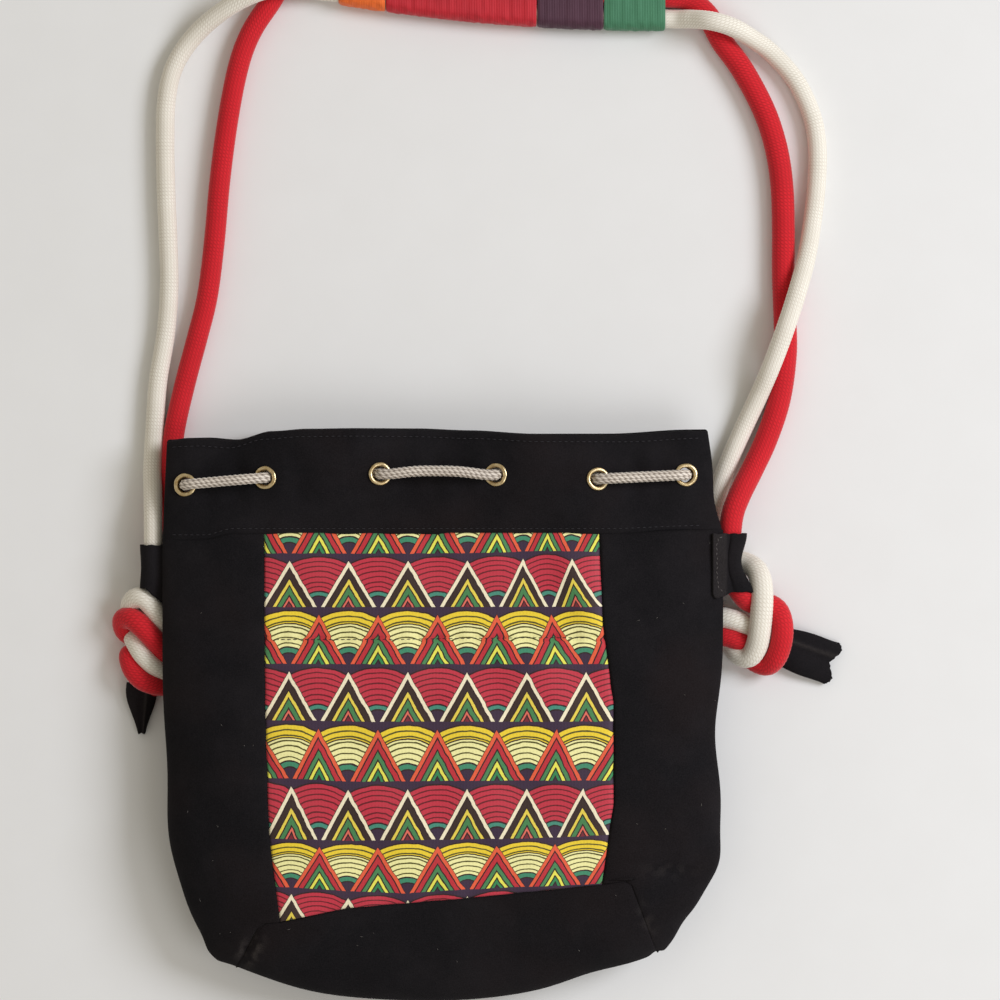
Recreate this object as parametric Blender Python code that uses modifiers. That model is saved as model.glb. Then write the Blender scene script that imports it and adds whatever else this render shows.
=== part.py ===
"""Drawstring shoulder bag of black suede with a printed cotton front and a strap of two ropes.

The bag lies on its back and the strap is laid out above its mouth. X runs across the bag, Y runs
from its base towards the strap, and Z is up. The origin is on the floor, under the middle of the
back. Lengths are in metres.
"""
import math

import bmesh
import bpy
from mathutils import Matrix, Vector, geometry

MM = 0.001

# Body
HALF_WIDTH = 151.0 * MM
SEAM_Y = 98.5 * MM
CORNER_Y = -129.0 * MM
CORNER_INSET = 31.5 * MM
NARROW_FROM_Y = -10.0 * MM
NARROW_POWER = 3.3
BASE_SAG = 24.5 * MM
BASE_TILT = 2.6 * MM
CROWN_Z = 50.0 * MM
CROWN_Y = -30.0 * MM
CROWN_FALL = 12.0 * MM
CROWN_FALL_LENGTH = 160.0 * MM
CROWN_BOW = 3.0 * MM
RIM_Z = 26.0 * MM
FRONT_ROUND = 55.0 * MM
BACK_ROUND = 80.0 * MM
BASE_ROUND = 48.0 * MM
SUEDE = 1.6 * MM
SEAM_GAP = 0.4 * MM
BODY_COLUMNS = 20
BODY_ROWS = 12

# Collar
COLLAR_TOP_Y = 151.0 * MM
COLLAR_RISE = ((-1.0, -2.4), (-0.81, -2.2), (-0.66, 1.4), (-0.5, 2.8), (-0.2, 2.2), (0.03, 1.3),
               (0.35, -0.8), (0.64, 0.2), (0.94, 2.3), (1.0, 2.3))
COLLAR_TAPER_RIGHT = 8.0 * MM
COLLAR_TAPER_LEFT = 1.0 * MM
COLLAR_WALL = 3.0 * MM
COLLAR_LIFT = 9.5 * MM
LIFT_FROM_Y = 40.0 * MM
GATHER_FRONT = 3.6 * MM
GATHER_BACK = 1.5 * MM
COLLAR_COLUMNS = 32
COLLAR_ROWS = 4

# Eyelets and drawstring
EYELET_EDGE_LEFT = 12.8 * MM
EYELET_EDGE_RIGHT = 20.3 * MM
EYELET_X = (EYELET_EDGE_LEFT - HALF_WIDTH, -95.0 * MM, -33.5 * MM, 28.6 * MM, 83.2 * MM,
            HALF_WIDTH - EYELET_EDGE_RIGHT)
EYELET_Y = (124.2 * MM, 128.0 * MM, 130.1 * MM, 129.6 * MM, 127.4 * MM, 129.6 * MM)
EYELET_DIAMETER = 12.0 * MM
EYELET_BORE = 8.0 * MM
EYELET_BARREL = 0.5 * MM
EYELET_RIM = 1.1 * MM
EYELET_FIT = 0.45 * MM
EYELET_STEPS = 10
EYELET_CUT = 7.8 * MM
DRAWSTRING_DIAMETER = 5.6 * MM
DRAWSTRING_CLEARANCE = 0.5 * MM
DRAWSTRING_KNOT = (9.0 * MM, 6.5 * MM, 5.0 * MM)
DRAWSTRING_TURN = 4.6 * MM
DRAWSTRING_TURN_SHARE = 0.12
DRAWSTRING_LEAD = 6.0 * MM
DRAWSTRING_BOW = 1.15
DRAWSTRING_BOW_FROM = 30.2 * MM

# Printed front, its corners and the box corner seams in plan
PRINT_WALL = 1.0 * MM
PRINT_LEFT = ((-95.8, 98.5), (-94.6, 8.0), (-92.4, -62.0), (-86.5, -109.0))
PRINT_FOOT = ((-50.0, -101.5), (14.6, -96.0))
PRINT_RIGHT = ((85.0, -89.0), (91.3, -46.0), (91.3, 8.0), (85.6, 50.0), (84.0, 98.5))
LEFT_CORNER_SEAM = ((-97.7, -109.5), (-109.6, -132.5), (-114.0, -150.0))
RIGHT_CORNER_SEAM = ((99.9, -86.5), (114.5, -125.8), (120.0, -150.0))
REGION_MARGIN = 10.0 * MM
CUT_OVERRUN = 4.0 * MM

# Print pattern, in millimetres on the cloth
ROW_PITCH = 31.6
ROW_TOP = 86.0
FIRST_ROW = -1
LAST_ROW = 6
COLUMN_PITCH = 31.7
COLUMN_X = -18.4
TRIANGLE_HALF_BASE = 15.1
TRIANGLE_HEIGHT = 28.3
CREAM_STEPS = (1.0, 0.815, 0.61, 0.45, 0.24)
ORANGE_STEPS = (1.0, 0.81, 0.59, 0.40, 0.235)
FAN_RADIUS = 30.0
FAN_TONE_RADIUS = 23.0
FAN_RING_RADIUS = 9.4
FAN_CORE_RADIUS = 6.4
FAN_SEGMENTS = 4
UNDERSIDE_PITCH = 24

# Hanging pocket inside, sewn through the print
POCKET_TOP_Y = 42.0 * MM
POCKET_HEIGHT = 105.0 * MM
POCKET_WIDTH = 150.0 * MM
POCKET_CLOTH = 0.8 * MM
POCKET_SPACE = 2.2 * MM
POCKET_DROP = 0.5 * MM
POCKET_CUTS = 5

# Strap ropes
CREAM_ROPE = 10.0 * MM
RED_ROPE = 11.0 * MM
ROPE_POINT_SPACING = 20.0 * MM
KNOT_POINT_SPACING = 7.0 * MM
ROUTE_STEPS = 12
JOINT_GAP = 0.3 * MM

# Thread wrapping round both ropes
WRAP_WALL = 0.8 * MM
WRAP_CLEARANCE = 0.9 * MM
WRAP_Z = 7.4 * MM
WRAP_Y = 383.3 * MM
WRAP_FLAT_X = 115.0 * MM
WRAP_BEND = 0.483
WRAP_ENDS = (-57.0 * MM, -31.3 * MM, 50.8 * MM, 86.9 * MM, 120.6 * MM)
ROPE_PITCH = 10.9 * MM
WRAP_SIDES = 16
WRAP_ROW = 22.0 * MM

# Side tabs: the left one is pushed together by the knot below it
TAB_WIDTH_RIGHT = 31.5 * MM
TAB_WIDTH_LEFT = 23.0 * MM
TAB_THICKNESS = 1.6 * MM
TAB_CLEARANCE = 0.5 * MM
TAB_ROPE_X = HALF_WIDTH + 5.6 * MM
TAB_ROPE_Z = 18.2 * MM
TAB_TOP_LEFT_Y = 91.8 * MM
TAB_TOP_RIGHT_Y = 98.0 * MM
TAB_STRIP_START = HALF_WIDTH - 6.0 * MM
TAB_TAIL_X = HALF_WIDTH - 5.5 * MM
TAB_STEPS = 7
TAB_FROM_ANGLE = 110.0
TAB_TO_ANGLE = -125.0

# End sleeves: both ends in plan, width and height at each end, and depth of the notch
SLEEVE_WALL = 1.3 * MM
SLEEVE_CORE = 4.4 * MM
SLEEVE_LEFT = ((-163.6, 8.0), (-164.0, -11.0), (13.0, 6.0), (9.0, 4.5), 1.0)
SLEEVE_RIGHT = ((189.4, 34.6), (214.0, 26.6), (18.0, 21.0), (9.0, 5.0), 5.0)

BAG_NAME = "Drawstring shoulder bag"

CREAM_ROUTE = (
    (-156.6, 69.0, 18.2), (-156.6, 80.0, 18.2), (-156.6, 96.0, 18.2), (-156.8, 107.0, 17.0),
    (-157.4, 120.0, 11.6), (-157.9, 135.0, 6.6), (-156.8, 156.0, 5.2), (-155.0, 181.0, 5.2),
    (-150.8, 207.0, 5.2), (-149.0, 232.0, 5.2), (-149.6, 258.0, 5.2), (-150.7, 284.0, 5.2),
    (-151.2, 312.0, 5.2), (-150.4, 334.0, 5.2), (-146.3, 351.5, 5.2), (-136.1, 367.2, 6.4),
    (-121.5, 379.6, 12.2), (-105.5, 388.4, 18.0), (-91.0, 392.6, 19.0), (-78.0, 393.2, 12.6),
    (-66.0, 392.4, 7.6), (-50.0, 390.9, 7.4), (-30.0, 388.0, 7.4), (0.0, 384.2, 7.4),
    (30.0, 381.3, 7.4), (60.0, 379.3, 7.4), (90.0, 378.1, 7.4), (112.0, 377.6, 7.4),
    (126.0, 377.2, 7.4), (135.0, 376.6, 12.4), (145.6, 374.8, 19.0), (157.0, 371.6, 17.0),
    (168.0, 366.0, 10.4), (178.0, 359.2, 5.8), (191.2, 344.5, 5.2), (200.0, 326.0, 5.2),
    (203.2, 309.0, 5.2), (203.0, 290.0, 5.2), (200.6, 268.0, 6.0), (197.1, 248.0, 10.4),
    (191.4, 228.0, 17.0), (184.9, 208.5, 19.0), (178.2, 190.0, 15.4), (171.5, 173.5, 8.8),
    (164.0, 157.0, 5.4), (156.5, 140.0, 5.2), (150.8, 125.0, 5.2), (147.8, 111.0, 5.2),
    (146.6, 101.0, 5.2),
)
RED_ROUTE = (
    (-146.6, 59.0, 5.7), (-146.9, 80.0, 5.7), (-147.0, 105.0, 5.7), (-147.0, 127.0, 5.7),
    (-145.3, 152.0, 5.7), (-139.0, 180.0, 5.7), (-131.6, 204.0, 5.7), (-125.8, 227.0, 5.7),
    (-121.5, 256.0, 5.7), (-118.8, 288.0, 5.7), (-115.6, 316.0, 5.7), (-111.8, 341.0, 5.7),
    (-108.0, 359.0, 5.7), (-102.6, 373.0, 5.7), (-94.2, 386.1, 5.7), (-86.5, 398.4, 5.7),
    (-78.0, 404.8, 6.2), (-67.0, 404.9, 7.2), (-58.0, 403.4, 7.4), (-50.0, 402.0, 7.4), (-30.0, 399.0, 7.4),
    (0.0, 395.1, 7.4), (30.0, 392.2, 7.4), (60.0, 390.2, 7.4), (90.0, 389.0, 7.4),
    (112.0, 389.0, 7.4), (122.5, 389.4, 7.0), (133.5, 387.6, 5.7), (143.5, 379.6, 5.7),
    (151.2, 365.6, 5.7), (161.5, 351.5, 5.7), (171.2, 334.3, 5.7), (177.6, 319.0, 5.7),
    (182.0, 302.0, 5.7), (184.2, 284.0, 5.7), (184.8, 262.0, 5.7), (184.8, 238.0, 5.7),
    (185.6, 215.0, 5.7), (185.9, 195.0, 5.7), (182.5, 170.5, 5.7), (175.8, 149.0, 6.4),
    (168.4, 133.0, 9.6), (161.4, 119.0, 15.0), (157.6, 108.0, 18.0), (156.6, 92.0, 18.2),
    (156.6, 66.2, 18.2),
)


def clear_scene():
    for thing in list(bpy.data.objects):
        bpy.data.objects.remove(thing, do_unlink=True)


def make_collection(name):
    collection = bpy.data.collections.new(name)
    bpy.context.scene.collection.children.link(collection)
    return collection


def make_material(name, colour, roughness, metallic=0.0):
    material = bpy.data.materials.new(name)
    material.use_nodes = True
    material.diffuse_color = (*colour, 1.0)
    shader = material.node_tree.nodes["Principled BSDF"]
    shader.inputs["Base Color"].default_value = (*colour, 1.0)
    shader.inputs["Roughness"].default_value = roughness
    shader.inputs["Metallic"].default_value = metallic
    return material


def make_part(name, bm, materials, smooth=True):
    mesh = bpy.data.meshes.new(name)
    bmesh.ops.recalc_face_normals(bm, faces=bm.faces)
    bm.to_mesh(mesh)
    bm.free()
    for material in materials:
        mesh.materials.append(material)
    if smooth:
        mesh.shade_smooth()
        mesh.set_sharp_from_angle(angle=math.radians(40.0))
    part = bpy.data.objects.new(name, mesh)
    PARTS.objects.link(part)
    return part


def make_cutter(name, bm):
    mesh = bpy.data.meshes.new(name)
    bmesh.ops.recalc_face_normals(bm, faces=bm.faces)
    bm.to_mesh(mesh)
    bm.free()
    cutter = bpy.data.objects.new(name, mesh)
    cutter.hide_render = True
    cutter.display_type = "WIRE"
    CUTTERS.objects.link(cutter)
    return cutter


def add_boolean(part, cutter, operation):
    step = part.modifiers.new(operation.title(), "BOOLEAN")
    step.operation = operation
    step.solver = "EXACT"
    step.object = cutter


def add_solidify(part, thickness, offset=-1.0):
    step = part.modifiers.new("Thickness", "SOLIDIFY")
    step.thickness = thickness
    step.offset = offset
    step.use_even_offset = True


# Curves of the skin

def smooth_step(value):
    value = min(max(value, 0.0), 1.0)
    return value * value * (3.0 - 2.0 * value)


def round_off(distance, reach):
    """A quarter ellipse: 0 at the edge, 1 from the reach inwards."""
    left = 1.0 - min(max(distance, 0.0), reach) / reach
    return math.sqrt(max(0.0, 1.0 - left * left))


def crown_height(x, y):
    fall = CROWN_FALL * smooth_step((y - CROWN_Y) / CROWN_FALL_LENGTH)
    return CROWN_Z - fall - CROWN_BOW * (x / HALF_WIDTH) ** 2


def back_lift(y):
    return COLLAR_LIFT * smooth_step((y - LIFT_FROM_Y) / (SEAM_Y - LIFT_FROM_Y))


def body_half_width(edge_y):
    fall = max(0.0, (NARROW_FROM_Y - edge_y) / (NARROW_FROM_Y - CORNER_Y))
    return HALF_WIDTH - CORNER_INSET * fall ** NARROW_POWER


def body_point(across, along, inset, face):
    """A point of the body's skin: across is -1 to 1, along is 0 at the collar and 1 at the base."""
    edge_y = SEAM_Y + along * (CORNER_Y + inset - SEAM_Y)
    half = body_half_width(edge_y) - inset
    sag = BASE_SAG * (1.0 - across * across) - BASE_TILT * across
    x = across * half
    y = edge_y - sag * along ** 3
    side = (1.0 - abs(across)) * half
    base = (1.0 - along) * (SEAM_Y - CORNER_Y)
    return Vector((x, y, body_height(x, y, side, base, inset, face)))


def body_height(x, y, side, base, inset, face):
    if face > 0:
        rise = crown_height(x, y) - inset - RIM_Z
        return RIM_Z + rise * round_off(side, FRONT_ROUND) * round_off(base, BASE_ROUND)
    rise = RIM_Z - back_lift(y) - inset
    return RIM_Z - rise * round_off(side, BACK_ROUND) * round_off(base, BASE_ROUND)


def front_height(x, y):
    """Height of the body's front above a point in plan, found by turning the plan mapping round."""
    edge_y = y
    for _ in range(12):
        along = max(0.0, (SEAM_Y - edge_y) / (SEAM_Y - CORNER_Y))
        across = x / body_half_width(edge_y)
        sag = BASE_SAG * (1.0 - across * across) - BASE_TILT * across
        edge_y = y + sag * along ** 3
    side = (1.0 - abs(across)) * body_half_width(edge_y)
    base = (1.0 - along) * (SEAM_Y - CORNER_Y)
    return body_height(x, y, side, base, 0.0, 1)


def collar_top(x):
    """The collar's upper edge, eased between the places in COLLAR_RISE."""
    place = min(max(x / HALF_WIDTH, -1.0), 1.0)
    for (start, low), (end, high) in zip(COLLAR_RISE, COLLAR_RISE[1:]):
        if place <= end:
            return COLLAR_TOP_Y + (low + (high - low) * smooth_step((place - start) / (end - start))) * MM


def collar_edge(x, y):
    taper = COLLAR_TAPER_RIGHT if x > 0 else COLLAR_TAPER_LEFT
    return HALF_WIDTH - taper * (y - SEAM_Y) / (COLLAR_TOP_Y - SEAM_Y)


def gather(x):
    """Folds drawn in by the cord: below zero where the cord runs outside, above where it is inside."""
    for index in range(len(EYELET_X) - 1):
        start, end = EYELET_X[index], EYELET_X[index + 1]
        if start <= x <= end:
            wave = math.sin(math.pi * (x - start) / (end - start))
            return wave if index % 2 else -wave
    return 0.0


def collar_height(x, y, inset, face):
    spread = smooth_step((y - SEAM_Y) / (0.5 * (COLLAR_TOP_Y - SEAM_Y)))
    side = collar_edge(x, y) - inset - abs(x)
    if face > 0:
        level = crown_height(x, y) - inset + GATHER_FRONT * gather(x) * spread
        return RIM_Z + (level - RIM_Z) * round_off(side, FRONT_ROUND)
    level = COLLAR_LIFT + inset - GATHER_BACK * gather(x) * spread
    return RIM_Z + (level - RIM_Z) * round_off(side, BACK_ROUND)


def collar_normal(x, y, face):
    step = 0.5 * MM
    slope_x = (collar_height(x + step, y, 0.0, face) - collar_height(x - step, y, 0.0, face)) / (2 * step)
    slope_y = (collar_height(x, y + step, 0.0, face) - collar_height(x, y - step, 0.0, face)) / (2 * step)
    normal = Vector((-slope_x, -slope_y, 1.0)).normalized()
    return normal * face


# Solids that the shells are cut from

def paired_grids(place, columns, rows):
    """Two mapped grids, front and back, joined where they meet and filled where they are open."""
    bm = bmesh.new()
    for face in (1, -1):
        grid = bmesh.ops.create_grid(bm, x_segments=columns, y_segments=rows, size=1.0)
        for vert in grid["verts"]:
            vert.co = place(vert.co.x, vert.co.y, face)
    bmesh.ops.remove_doubles(bm, verts=bm.verts, dist=0.00001)
    edges = [edge for edge in bm.edges if edge.is_boundary]
    bmesh.ops.holes_fill(bm, edges=edges, sides=0)
    bmesh.ops.triangulate(bm, faces=[face for face in bm.faces if len(face.verts) > 4])
    return bm


def body_solid(inset, start):
    def place(u, v, face):
        across = math.sin(0.5 * math.pi * u)
        along = start + (1.0 - start) * math.sin(0.25 * math.pi * (1.0 - v))
        return body_point(across, along, inset, face)
    return paired_grids(place, BODY_COLUMNS, BODY_ROWS)


def collar_solid(inset, overrun):
    def place(u, v, face):
        bottom = SEAM_Y + SEAM_GAP - overrun
        up = 0.5 * (v + 1.0)
        guess = math.sin(0.5 * math.pi * u) * HALF_WIDTH
        y = bottom + up * (collar_top(guess) + overrun - bottom)
        across = 0.35 * u + 0.65 * math.sin(0.5 * math.pi * u)
        x = across * (collar_edge(u, y) - inset)
        return Vector((x, y, collar_height(x, y, inset, face)))
    return paired_grids(place, COLLAR_COLUMNS, COLLAR_ROWS)


def inset_outline(points, distance):
    """Moves every side of an outline, listed against the clock, inwards by the distance."""
    moved = []
    count = len(points)
    for index in range(count):
        here = Vector(points[index])
        before = (here - Vector(points[index - 1])).normalized()
        after = (Vector(points[(index + 1) % count]) - here).normalized()
        inward_before = Vector((-before.y, before.x))
        inward_after = Vector((-after.y, after.x))
        mitre = (inward_before + inward_after).normalized()
        moved.append(here + mitre * distance / max(0.3, mitre.dot(inward_after)))
    return moved


def prism(name, outline, bottom, top):
    bm = bmesh.new()
    verts = [bm.verts.new((x * MM, y * MM, bottom)) for x, y in outline]
    face = bm.faces.new(verts)
    lifted = bmesh.ops.extrude_face_region(bm, geom=[face])
    moved = [item for item in lifted["geom"] if isinstance(item, bmesh.types.BMVert)]
    bmesh.ops.translate(bm, verts=moved, vec=(0.0, 0.0, top - bottom))
    return make_cutter(name, bm)


def shell_panel(name, outline, bottom, top):
    """One panel of the bag's body: the shell kept inside an outline in plan and a height range."""
    region = prism(name + "_region", inset_outline(outline, 0.5 * SEAM_GAP / MM), bottom, top)
    panel = make_part(name, body_solid(0.0, 0.0), (SUEDE_BLACK,))
    add_boolean(panel, region, "INTERSECT")
    add_boolean(panel, BODY_INSIDE, "DIFFERENCE")
    return panel


def make_body():
    margin = REGION_MARGIN / MM
    far = HALF_WIDTH / MM + 4.0 * margin
    low = -far
    high = SEAM_Y / MM + margin
    floor = -REGION_MARGIN
    top = CROWN_Z + REGION_MARGIN
    left = [(PRINT_LEFT[0][0], high), *PRINT_LEFT[1:], *LEFT_CORNER_SEAM, (LEFT_CORNER_SEAM[-1][0], low)]
    right = [(RIGHT_CORNER_SEAM[-1][0], low), *RIGHT_CORNER_SEAM[::-1], *PRINT_RIGHT[:-1],
             (PRINT_RIGHT[-1][0], high)]
    left_region = [(-far, high), (-far, low), *left[::-1]]
    right_region = [(far, low), (far, high), *right[::-1]]
    base_region = [*left[3:], *right[:-4], *PRINT_FOOT[::-1]]
    centre = [(PRINT_LEFT[0][0], high), *PRINT_LEFT[1:], *PRINT_FOOT, *PRINT_RIGHT[:-1],
              (PRINT_RIGHT[-1][0], high)]
    shell_panel("side_panel_left", left_region, floor, top)
    shell_panel("side_panel_right", right_region, floor, top)
    shell_panel("base_panel", base_region, floor, top)
    shell_panel("back_panel", centre, floor, RIM_Z)


# Printed front

def fan_spread(radius):
    """Angle from upright at which a circle round a fan's foot meets the triangles beside it."""
    lean = math.atan2(TRIANGLE_HALF_BASE, TRIANGLE_HEIGHT)
    gap = (0.5 * COLUMN_PITCH - TRIANGLE_HALF_BASE) * math.cos(lean)
    return lean + math.asin(gap / radius)


def fan_arc(foot_x, foot_y, radius):
    spread = fan_spread(radius)
    points = []
    for step in range(FAN_SEGMENTS + 1):
        angle = spread * (2.0 * step / FAN_SEGMENTS - 1.0)
        points.append((foot_x + radius * math.sin(angle), foot_y + radius * math.cos(angle)))
    return points


def pattern_lines():
    """Every line of the print: nested triangles standing on each row, and fans between them."""
    lines = []
    columns = range(-4, 6)
    for row in range(FIRST_ROW, LAST_ROW + 1):
        foot = ROW_TOP - row * ROW_PITCH - TRIANGLE_HEIGHT
        is_cream = row % 2 == 0
        steps = CREAM_STEPS if is_cream else ORANGE_STEPS
        radii = (FAN_CORE_RADIUS, FAN_RING_RADIUS, FAN_RADIUS)
        if not is_cream:
            radii = (FAN_CORE_RADIUS, FAN_RING_RADIUS, FAN_TONE_RADIUS, FAN_RADIUS)
        for column in columns:
            middle = COLUMN_X + (column + (0.0 if is_cream else 0.5)) * COLUMN_PITCH
            fan_foot = middle + 0.5 * COLUMN_PITCH
            arcs = [fan_arc(fan_foot, foot, radius) for radius in radii]
            lines.extend(arcs)
            before = [fan_arc(fan_foot - COLUMN_PITCH, foot, radius) for radius in radii]
            left_side = [(middle - TRIANGLE_HALF_BASE, foot)] + [arc[-1] for arc in before]
            right_side = [(middle + TRIANGLE_HALF_BASE, foot)] + [arc[0] for arc in arcs]
            lines.append(left_side + [(middle, foot + TRIANGLE_HEIGHT)] + right_side[::-1])
            for share in steps[1:]:
                half = share * TRIANGLE_HALF_BASE
                peak = (middle, foot + share * TRIANGLE_HEIGHT)
                lines.append([(middle - half, foot), peak, (middle + half, foot)])
            stops = [1.0, *steps[1:]]
            base = [middle - share * TRIANGLE_HALF_BASE for share in stops]
            base += [middle + share * TRIANGLE_HALF_BASE for share in reversed(stops)]
            lines.append([(x, foot) for x in base] + [(middle + COLUMN_PITCH - TRIANGLE_HALF_BASE, foot)])
    return lines


def print_field(x, y):
    """Which colour of the print lies at a point of the cloth, as a place in PRINT_COLOURS."""
    row = math.floor((ROW_TOP + FAN_RADIUS - TRIANGLE_HEIGHT - y) / ROW_PITCH)
    foot = ROW_TOP - row * ROW_PITCH - TRIANGLE_HEIGHT
    if y < foot:
        return 0
    is_cream = row % 2 == 0
    place = (x - COLUMN_X) / COLUMN_PITCH - (0.0 if is_cream else 0.5)
    sideways = abs(place - round(place)) * COLUMN_PITCH
    share = sideways / TRIANGLE_HALF_BASE + (y - foot) / TRIANGLE_HEIGHT
    if share < 1.0:
        steps = CREAM_STEPS if is_cream else ORANGE_STEPS
        level = sum(1 for step in steps if share < step) - 1
        return (1, 2, 3, 4, 5)[level] if is_cream else (6, 7, 4, 8, 4)[level]
    radius = math.hypot(0.5 * COLUMN_PITCH - sideways, y - foot)
    if radius > FAN_RADIUS or radius < FAN_CORE_RADIUS:
        return 0
    if radius < FAN_RING_RADIUS:
        return 9
    if is_cream:
        return 7
    return 3 if radius > FAN_TONE_RADIUS else 10


def triangulate_plan(lines):
    """Fills the plane with triangles that keep every given line as an edge."""
    places = {}
    verts = []
    edges = set()
    for line in lines:
        chain = []
        for x, y in line:
            key = (round(x, 3), round(y, 3))
            if key not in places:
                places[key] = len(verts)
                verts.append(Vector((x, y)))
            chain.append(places[key])
        edges.update((start, end) for start, end in zip(chain, chain[1:]) if start != end)
    filled = geometry.delaunay_2d_cdt(verts, sorted(edges), [], 0, 0.0005)
    return filled[0], filled[2]


def inside_outline(x, y, outline):
    inside = False
    for start, end in zip(outline, [*outline[1:], outline[0]]):
        if (start[1] > y) != (end[1] > y):
            crossing = start[0] + (y - start[1]) / (end[1] - start[1]) * (end[0] - start[0])
            inside = inside != (x < crossing)
    return inside


def make_print_panel():
    """Printed cotton: its top keeps every colour field, its underside is a plain sheet."""
    border = [*PRINT_LEFT, *PRINT_FOOT, *PRINT_RIGHT]
    outline = [tuple(point) for point in inset_outline(border, 0.5 * SEAM_GAP / MM)]
    places, triangles = triangulate_plan([*pattern_lines(), [*outline, outline[0]]])
    bm = bmesh.new()
    verts = {}
    for triangle in triangles:
        middle_x = sum(places[index].x for index in triangle) / 3.0
        middle_y = sum(places[index].y for index in triangle) / 3.0
        if not inside_outline(middle_x, middle_y, outline):
            continue
        for index in triangle:
            if index not in verts:
                x, y = places[index].x * MM, places[index].y * MM
                verts[index] = bm.verts.new((x, y, front_height(x, y)))
        face = bm.faces.new([verts[index] for index in triangle])
        face.material_index = print_field(middle_x, middle_y)
    add_underside(bm, outline)
    return make_part("print_panel", bm, PRINT_COLOURS, smooth=False)


def add_underside(bm, outline):
    """Closes the print below with a coarse sheet that shares the top's border points."""
    rim = {}
    for edge in [edge for edge in bm.edges if edge.is_boundary]:
        for vert in edge.verts:
            if vert not in rim:
                rim[vert] = bm.verts.new(vert.co - Vector((0.0, 0.0, PRINT_WALL)))
        start, end = edge.verts
        side = bm.faces.new((start, end, rim[end], rim[start]))
        side.material_index = 0
    bm.edges.ensure_lookup_table()
    keys = list(rim.values())
    spots = [Vector((vert.co.x / MM, vert.co.y / MM)) for vert in keys]
    number = {vert: index for index, vert in enumerate(keys)}
    edges = []
    for edge in bm.edges:
        if edge.is_boundary:
            edges.append((number[edge.verts[0]], number[edge.verts[1]]))
    for x in range(-72, 90, UNDERSIDE_PITCH):
        for y in range(-84, 90, UNDERSIDE_PITCH):
            if inside_outline(x, y, outline):
                spots.append(Vector((x, y)))
    far = (HALF_WIDTH + 4.0 * REGION_MARGIN) / MM
    spots.extend((Vector((-far, -far)), Vector((far, -far)), Vector((far, far)), Vector((-far, far))))
    filled = geometry.delaunay_2d_cdt(spots, edges, [], 0, 0.0005)
    owners = filled[3]
    made = []
    for index, spot in enumerate(filled[0]):
        source = owners[index][0]
        if source < len(keys):
            made.append(keys[source])
        elif source < len(spots) - 4:
            x, y = spot.x * MM, spot.y * MM
            made.append(bm.verts.new((x, y, front_height(x, y) - PRINT_WALL)))
        else:
            made.append(None)
    for triangle in filled[2]:
        middle_x = sum(filled[0][index].x for index in triangle) / 3.0
        middle_y = sum(filled[0][index].y for index in triangle) / 3.0
        if inside_outline(middle_x, middle_y, outline):
            face = bm.faces.new([made[index] for index in triangle])
            face.material_index = 0


# Pocket

def pocket_slab(width, y_low, y_high, depth_top, depth_bottom):
    """A flat slab that follows the front's curve at a depth below its outer face."""
    bm = bmesh.new()
    bmesh.ops.create_cube(bm, size=1.0)
    long_edges = [edge for edge in bm.edges
                  if abs(edge.verts[0].co.z - edge.verts[1].co.z) < 0.5]
    bmesh.ops.subdivide_edges(bm, edges=long_edges, cuts=POCKET_CUTS, use_grid_fill=True)
    for vert in bm.verts:
        x = vert.co.x * width
        y = y_low + (vert.co.y + 0.5) * (y_high - y_low)
        depth = depth_top if vert.co.z > 0 else depth_bottom
        vert.co = (x, y, front_height(x, y) - depth)
    return bm


def make_pocket():
    top = PRINT_WALL + POCKET_DROP
    bottom = top + 2.0 * POCKET_CLOTH + POCKET_SPACE
    foot = POCKET_TOP_Y - POCKET_HEIGHT
    outer = pocket_slab(POCKET_WIDTH, foot, POCKET_TOP_Y, top, bottom)
    inner = pocket_slab(POCKET_WIDTH - 2.0 * POCKET_CLOTH, foot + POCKET_CLOTH,
                        POCKET_TOP_Y + CUT_OVERRUN, top + POCKET_CLOTH, bottom - POCKET_CLOTH)
    pocket = make_part("inner_pocket", outer, (POCKET_COTTON,), smooth=False)
    add_boolean(pocket, make_cutter("pocket_space", inner), "DIFFERENCE")


# Collar and eyelets

def eyelet_seat(index, face):
    """Middle of the collar's wall at an eyelet, and the direction that points out of the wall."""
    x, y = EYELET_X[index], EYELET_Y[index]
    normal = collar_normal(x, y, face)
    outside = Vector((x, y, collar_height(x, y, 0.0, face)))
    return outside - normal * (0.5 * COLLAR_WALL), normal


def aim(normal):
    return Vector((0.0, 0.0, 1.0)).rotation_difference(normal).to_matrix().to_4x4()


def eyelet_profile():
    """Half section of a set eyelet: a rolled rim each side and the barrel through the wall."""
    bore = 0.5 * EYELET_BORE
    barrel = bore + EYELET_BARREL
    rim = 0.5 * EYELET_DIAMETER
    seat = 0.5 * COLLAR_WALL + EYELET_FIT
    crest = seat + EYELET_RIM
    middle = 0.5 * (bore + rim)
    return [(bore, seat), (middle, crest), (rim, seat), (barrel, seat), (barrel, -seat), (rim, -seat),
            (middle, -crest), (bore, -seat)]


def eyelet_mesh():
    bm = bmesh.new()
    profile = [bm.verts.new((radius, 0.0, height)) for radius, height in eyelet_profile()]
    edges = [bm.edges.new((start, end)) for start, end in zip(profile, [*profile[1:], profile[0]])]
    bmesh.ops.spin(bm, geom=profile + edges, axis=(0.0, 0.0, 1.0), cent=(0.0, 0.0, 0.0),
                   steps=EYELET_STEPS, angle=math.tau)
    bmesh.ops.remove_doubles(bm, verts=bm.verts, dist=0.00001)
    bmesh.ops.recalc_face_normals(bm, faces=bm.faces)
    mesh = bpy.data.meshes.new("eyelet")
    bm.to_mesh(mesh)
    bm.free()
    mesh.materials.append(BRASS)
    mesh.shade_smooth()
    mesh.set_sharp_from_angle(angle=math.radians(50.0))
    return mesh


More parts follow.
